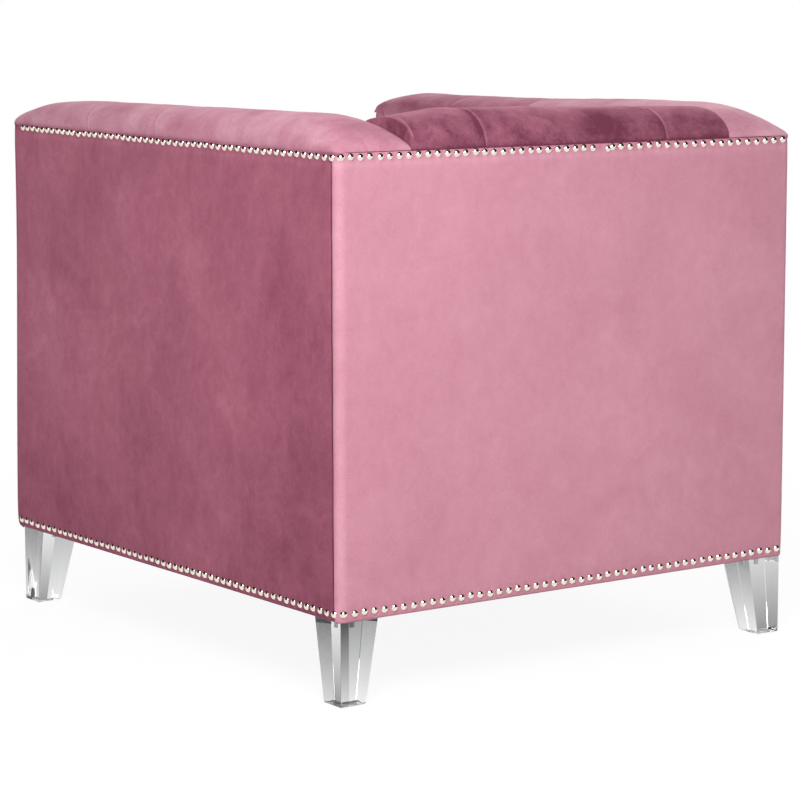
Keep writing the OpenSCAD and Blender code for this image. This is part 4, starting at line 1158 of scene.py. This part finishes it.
cover = bmesh.new()
cover.from_mesh(cushion.data)
bmesh.ops.subdivide_edges(cover, edges=cover.edges, cuts=1, use_grid_fill=True, smooth=0.0)
surface = BVHTree.FromBMesh(cover)
SEAMS = {}
for level, z in (("top", Z1 + 4), ("bottom", Z0 + 4)):
    line = []
    for k in range(SEAM_POINTS):
        x, y = seam_plan(k / SEAM_POINTS)
        line.append(surface.find_nearest(Vector((x * 1.012, y * 1.012 + 1.4, z)) * MM)[0] * 1000)
    for turn in range(6):
        line = [(line[k - 1] + line[k] * 2 + line[(k + 1) % SEAM_POINTS]) / 4 for k in range(SEAM_POINTS)]
    SEAMS[level] = line
find = KDTree(2 * SEAM_POINTS)
for k, point in enumerate(SEAMS["top"] + SEAMS["bottom"]):
    find.insert(point, k)
find.balance()
tone = cover.verts.layers.float.new("tone")
for vert in cover.verts:
    p = vert.co * 1000
    near, k, d = find.find(p)
    inward = CUSHION_MID - near
    inward.x *= 0.3 if abs(near.x) < 240 else 1
    inward.y *= 0.3 if abs(near.y + 117) < 280 else 1
    pucker = 0.7 * ripple(p.x, p.y, p.z, 11, 3.9) * fade(d, 22) + 0.9 * ripple(p.x, p.y, p.z, 75, 0.7)
    p += inward.normalized() * (3.2 * bell(d, 0, 6)) + vert.normal * pucker
    at_zip = abs(p.x) < ZIP_X and abs(p.z - CUSHION_MID.z) < ZIP_Z
    p = kept_in(p, -1.4, -1.5, 0.3 if at_zip else -1.2, 0)
    vert.co = p * MM
    # Painted shade in the seam's groove and a painted highlight on the swell beside it, over random tone.
    vert[tone] = -0.6 * bell(d, 0, 3.5) + 0.45 * ripple(p.x, p.y, p.z, 60, 2.4) + 0.2 * bell(d, 12, 6)
cover.to_mesh(cushion.data)
cover.free()
cushion.data.materials.clear()
cushion.data.materials.append(LOOKS["velvet_cushion"])
for face in cushion.data.polygons:
    face.use_smooth = True
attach(cushion, "seat_cushion")
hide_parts("cushion_cover")
print("cushion faces", len(cushion.data.polygons))

# %% [markdown]
# Piping is a cord in a strip of the same velvet. A curve with a round bevel along the seam
# has its shape, and becomes a mesh.

# %% Piping
PIPE_R, PIPE_IN, PIPE_DROP = 3.6, 3, 0.8
for level, line in SEAMS.items():
    name = "cushion_piping_" + level
    curve = bpy.data.curves.new(name, "CURVE")
    curve.dimensions, curve.bevel_depth, curve.bevel_resolution = "3D", PIPE_R * MM, 2
    path = curve.splines.new("POLY")
    path.points.add(len(line) - 1)
    for point, p in zip(path.points, line):
        p = kept_in(p - Vector((0, 0, PIPE_DROP)), PIPE_IN, PIPE_IN, PIPE_IN, PIPE_R + 0.1)
        point.co = (*(p * MM), 1)
    path.use_cyclic_u = True
    holder = add_object(name, curve)
    pipe = bmesh.new()
    pipe.from_mesh(as_shown(holder))
    bpy.data.objects.remove(holder)
    tone = pipe.verts.layers.float.new("tone")
    for vert in pipe.verts:
        vert[tone] = 0.3 * ripple(*(vert.co * 1000), 12, 1.2)
    finish_piece(name, pipe, "velvet_cushion", filled=1.0, body="seat_cushion")
print("piping along", len(SEAMS), "seams")

# %% [markdown]
# ## Nails
# Hundreds of small domes catch the light along the edges. Each needs only a few dozen faces:
# an arc spun round its axis. No upholsterer drives them in a perfect line, so each nail is
# off by a fraction of a millimetre and leans a degree or two. On the back one nail is
# missing from the top row, and its neighbours crowd together.

# %% Nail shape
DOME_R, DOME_H = NAIL_D / 2 + 0.3, NAIL_H + 0.7
BALL_R = (DOME_R ** 2 + DOME_H ** 2) / (2 * DOME_H)
dome = [(BALL_R * sin(a), DOME_H - BALL_R + BALL_R * cos(a)) for a in (0, 0.3, 0.62, 0.94, 1.2)]
shank = [(DOME_R, 0), (DOME_R - 0.5, -0.3), (0.8, -0.3), (0.8, -10), (0, -11)]
nail = mesh_of("nail_shape", spun(dome + shank, 12))
print("nail faces", len(nail.polygons))

# %% [markdown]
# Each nail gets a matrix: its place on the cloth, the way its face looks, and its lean. The
# small offsets come from noise, so they are the same in each run.

# %% Nail rows
def jitter(k, seed):
    """A fixed small offset from -1 to 1 for nail number k."""
    return noise.noise(Vector((k * 1.37 + seed, seed * 2.1, 0.5)))


def set_nail(point, away, k, seed):
    """The matrix of one nail on a face that looks along away."""
    turn = Vector(away).to_track_quat("Z", "Y").to_matrix().to_4x4()
    for axis, more in (("X", 0), ("Y", 9)):
        turn = turn @ Matrix.Rotation(radians(5) * jitter(k, seed + more), 4, axis)
    return Matrix.Translation(Vector(point) * MM) @ turn


def side_nails(seed):
    """Both rows of the left side."""
    made = []
    for low, start in enumerate((-HALF_D + 31, -HALF_D + 17)):
        places = steps((start, NAIL_REAR_Y, NAIL_PITCH))
        if not low:
            places[10] -= 3
        for k, y in enumerate(places):
            z = BODY_Z + NAIL_RISE if low else edge_at(y) - NAIL_DROP
            y += 1.1 * jitter(k, seed + 2)
            z += 1.3 * jitter(k, seed + 5 + low) + 1.2 * jitter(0.22 * k, seed + 7)
            made.append(set_nail((HALF_W, y + rake(y, z), z), (1, 0, 0), k, seed + low))
    return made


def back_nails():
    """Both rows of the back. The upper one misses a nail, and two nails crowd beside the gap."""
    made = []
    upper = [(-76.7 - 16.7 * k, 0.0) for k in range(19)] + [(-61.5, 0.3), (-53.2, -2.0)]
    upper += [(-27.1 + 15.4 * k, 0.0) for k in range(28)]
    lower = [(x, 0.0) for x in steps((-HALF_W + 16, HALF_W - 8, NAIL_PITCH))]
    for low, places in enumerate((upper, lower)):
        for k, (x, drop) in enumerate(places):
            z = drop + (BODY_Z + NAIL_RISE if low else EDGE_Z - NAIL_DROP)
            if not drop:
                x += 1.5 * jitter(k, 31 + low)
                z += 1.5 * jitter(k, 37 + low) + 1.2 * jitter(0.25 * k, 33 + low)
            over = max(0.0, abs(x) - HALF_W + CORNER_R) / CORNER_R
            away = (over * (1 if x > 0 else -1), sqrt(1 - over * over), 0)
            made.append(set_nail((x, HALF_D - CORNER_R + CORNER_R * away[1], z), away, k, 41 + low))
    return made


def front_nails():
    """The lower row across the front, and a short upper row on each arm."""
    low, top = (steps((*ends, NAIL_PITCH)) for ends in (FRONT_LOW_ENDS, FRONT_TOP_ENDS))
    places = [(x, BODY_Z + NAIL_RISE) for x in low]
    places += [(side * x, edge_at(-HALF_D) - NAIL_DROP) for side in (1, -1) for x in top]
    return [set_nail((x + 0.5 * jitter(k, 51), -HALF_D + rake(-HALF_D, z), z + 0.6 * jitter(k, 53)),
                     (0, -1, 0), k, 57) for k, (x, z) in enumerate(places)]


for name, places in (("nails_left", side_nails(11)), ("nails_right", side_nails(23)),
                     ("nails_back", back_nails()), ("nails_front", front_nails())):
    bm = set_pieces(nail, places)
    bm = mirrored(bm) if name == "nails_right" else bm
    print(name, len(bm.faces), "faces")
    finish_piece(name + "_domes", bm, "nickel", name, crease=35)

# %% [markdown]
# ## Clear legs
# The legs are polished blocks of clear acrylic with crisp edges. The two outer faces are
# upright and the inner two taper. A cube is moved to the leg's eight corners, and a narrow
# bevel catches light on the edges. The material is a glass-like transmission with the
# refraction of acrylic, which shows the other faces through the near ones. Each face also
# has a painted reflection in its colour: its own grey at the top and at the foot, as a clear
# block shows in an uneven surround.

# %% Clear material
tree, shader, coords = material("clear_acrylic")
level = maths(tree, "MULTIPLY", node(tree, "SeparateXYZ", coords).outputs["Z"], 1 / (BODY_Z * MM), clamp=True)
top, foot = node(tree, "Attribute"), node(tree, "Attribute")
top.attribute_name, foot.attribute_name = "painted_reflection_top", "painted_reflection_foot"
top, foot = top.outputs["Fac"], foot.outputs["Fac"]
# The grey is a painted reflection, running from the top grey at the top of the leg to the foot grey at its
# foot, and it tints the clear acrylic.
grey = maths(tree, "ADD", maths(tree, "MULTIPLY", level, maths(tree, "SUBTRACT", top, foot)), foot)
fill(tree, shader, Transmission_Weight=1.0, IOR=1.49,
     Base_Color=ramp(tree, maths(tree, "POWER", grey, 2.2), (0.0, (0, 0, 0)), (1.0, (0.985, 0.99, 0.995))),
     Roughness=ramp(tree, noise_at(tree, coords, 40), (0.3, 0.0), (0.7, 0.02)))
print("material", LOOKS["clear_acrylic"].name)

# %% [markdown]
# The greys sit on the faces as two attributes. In the photograph each face that is seen has
# a strip of another tone beside its corner, so those faces are cut in two.

# %% Legs
LEG_OUT = (HALF_W - 5, HALF_D - 5)
LEG_TOP, LEG_FOOT = 60, 40
LEG_TAPER = (LEG_TOP - LEG_FOOT) / BODY_Z
# Greys of the painted reflections: the plain pair for faces without a strip, and for each leg its strips.
PLAIN_REFLECTION = (0.88, 0.99)
REFLECTION_STRIPS = {
    (1, 1): ((22, 16, (1.0, 0.32), (0.23, 0.77)), (13, 13, (0.07, 0.80), (0.46, 0.93))),
    (1, -1): ((60, 40, (0.23, 0.77), (0.23, 0.77)), (42, 28, (0.94, 0.38), (0.57, 0.87))),
    (-1, 1): ((30, 19, (1.0, 0.32), (0.37, 0.87)), (27, 19, (1.0, 0.62), (0.83, 0.29))),
    (-1, -1): ((28, 18, (0.8, 0.4), (0.35, 0.85)), (20, 16, (0.9, 0.5), (0.45, 0.9))),
}


def leg_block(signs):
    """A leg with upright outer faces and tapered inner ones, cut where the painted reflection on its faces
    changes.

    Each entry of the strips table has the two faces that look left and back. Each face has a strip beside
    their
    shared corner: its width at the top and at the foot, its painted reflection greys there, and those of the
    rest.
    """
    def corner(axis, z):
        """Place of that corner along an axis, at the height z."""
        return LEG_OUT[axis] * signs[axis] + (0 if signs[axis] > 0 else LEG_FOOT + LEG_TAPER * z)

    bm = bmesh.new()
    bmesh.ops.create_cube(bm, size=2)
    for vert in bm.verts:
        wide = LEG_TOP if vert.co.z > 0 else LEG_FOOT
        x, y = (sign * (out - (wide if c < 0 else 0)) for sign, out, c in zip(signs, LEG_OUT, vert.co))
        vert.co = (x * MM, y * MM, (BODY_Z if vert.co.z > 0 else 1) * MM)
    faces = REFLECTION_STRIPS[signs]
    for face, (top, foot, near, rest) in enumerate(faces):
        axis = 1 - face
        at_top, at_foot = corner(axis, BODY_Z) - top, corner(axis, 0) - foot
        co, no = Vector((0, 0, 0)), Vector((0, 0, -(at_top - at_foot) / BODY_Z))
        co[axis], no[axis] = at_foot * MM, 1.0
        bm.normal_update()
        cut = [f for f in bm.faces if f.normal[face] > 0.9]
        geom = cut + list({e for f in cut for e in f.edges}) + list({v for f in cut for v in f.verts})
        bmesh.ops.bisect_plane(bm, geom=geom, plane_co=co, plane_no=no)
    edges = [e for e in bm.edges if len(e.link_faces) == 2 and e.calc_face_angle(0) > 1]
    bmesh.ops.bevel(bm, geom=edges, offset=0.0008, offset_type="OFFSET", segments=2, profile=0.5,
                    affect="EDGES", material=-1)
    painted_reflection_top, painted_reflection_foot = bm.faces.layers.float.new("painted_reflection_top"), bm.faces.layers.float.new("painted_reflection_foot")
    bm.normal_update()
    # Each face gets its painted reflection greys, and a strip's greys beside the shared corner.
    for f in bm.faces:
        f[painted_reflection_top], f[painted_reflection_foot] = PLAIN_REFLECTION
        for face, (top, foot, near, rest) in enumerate(faces):
            if f.normal[face] > 0.9:
                middle = f.calc_center_median() / MM
                inside = corner(1 - face, middle.z) - middle[1 - face]
                strip = foot + (top - foot) * middle.z / BODY_Z
                f[painted_reflection_top], f[painted_reflection_foot] = near if inside < strip else rest
    return bm


for name, signs in (("leg_front_left", (1, -1)), ("leg_front_right", (-1, -1)), ("leg_rear_left", (1, 1)),
                    ("leg_rear_right", (-1, 1))):
    finish_piece(name + "_clear", leg_block(signs), "clear_acrylic", name, crease=20)
print("legs ready")

# %% [markdown]
# ## The dust cover
# A sheet of black cambric closes the chair from below. It is cut round the legs, its hem is
# turned in, and staples hold it stretched on the seat rails. Between the rails it hangs a
# little, and it puckers from staple to staple.

# %% Dust cover
DUST_X, DUST_FRONT, DUST_REAR = HALF_W - SKIN, 8 - HALF_D, HALF_D - SKIN
NOTCH_X, NOTCH_Y = (out - LEG_TOP for out in LEG_OUT)
DUST_Z = BODY_Z + 1.4
HEM, STAPLE_PITCH = 16, 40


def dust_place(x, y):
    edge = min(DUST_X - abs(x), y - DUST_FRONT, DUST_REAR - y)
    if min(abs(x) - NOTCH_X, abs(y) - NOTCH_Y) > -40:
        edge = min(edge, hypot(max(0, NOTCH_X - abs(x)), max(0, NOTCH_Y - abs(y))))
    along = y if DUST_X - abs(x) == edge else x
    z = DUST_Z - 1.3 * smooth((edge - 40) / 130) + 0.5 * (puff(along, 0, STAPLE_PITCH) - 1) * exp(-edge / 9)
    return x, y, z - 0.35 * smooth((14 - edge) / 1.5) - 0.2 * ripple(x, y, 0, 60, 4.9), 0.0


def edged(low, high, notch):
    """Grid lines across the sheet, fine along its hem, with one on each side of the notches."""
    return steps((low, low + HEM, 2), (low + HEM, -notch, 10), (-notch, notch, 12), (notch, high - HEM, 10),
                 (high - HEM, high, 2))


dust_bm = bent_grid(edged(-DUST_X, DUST_X, NOTCH_X), edged(DUST_FRONT, DUST_REAR, NOTCH_Y), dust_place)
cut_away = [f for f in dust_bm.faces if abs(f.calc_center_median().x) > NOTCH_X * MM and
            abs(f.calc_center_median().y) > NOTCH_Y * MM]
bmesh.ops.delete(dust_bm, geom=cut_away, context="FACES")
dust = finish_piece("dust_cover_sheet", dust_bm, "cambric", "dust_cover", wall=0.8)
dust_flat = (2 * DUST_X * MM, (DUST_REAR - DUST_FRONT) * MM)
dust_area = dust_flat[0] * dust_flat[1]
dust_area -= 2 * (DUST_X - NOTCH_X) * (DUST_REAR - DUST_FRONT - 2 * NOTCH_Y) * MM * MM
print("dust cover", [round(v, 3) for v in dust_flat], "m, area", round(dust_area, 3))
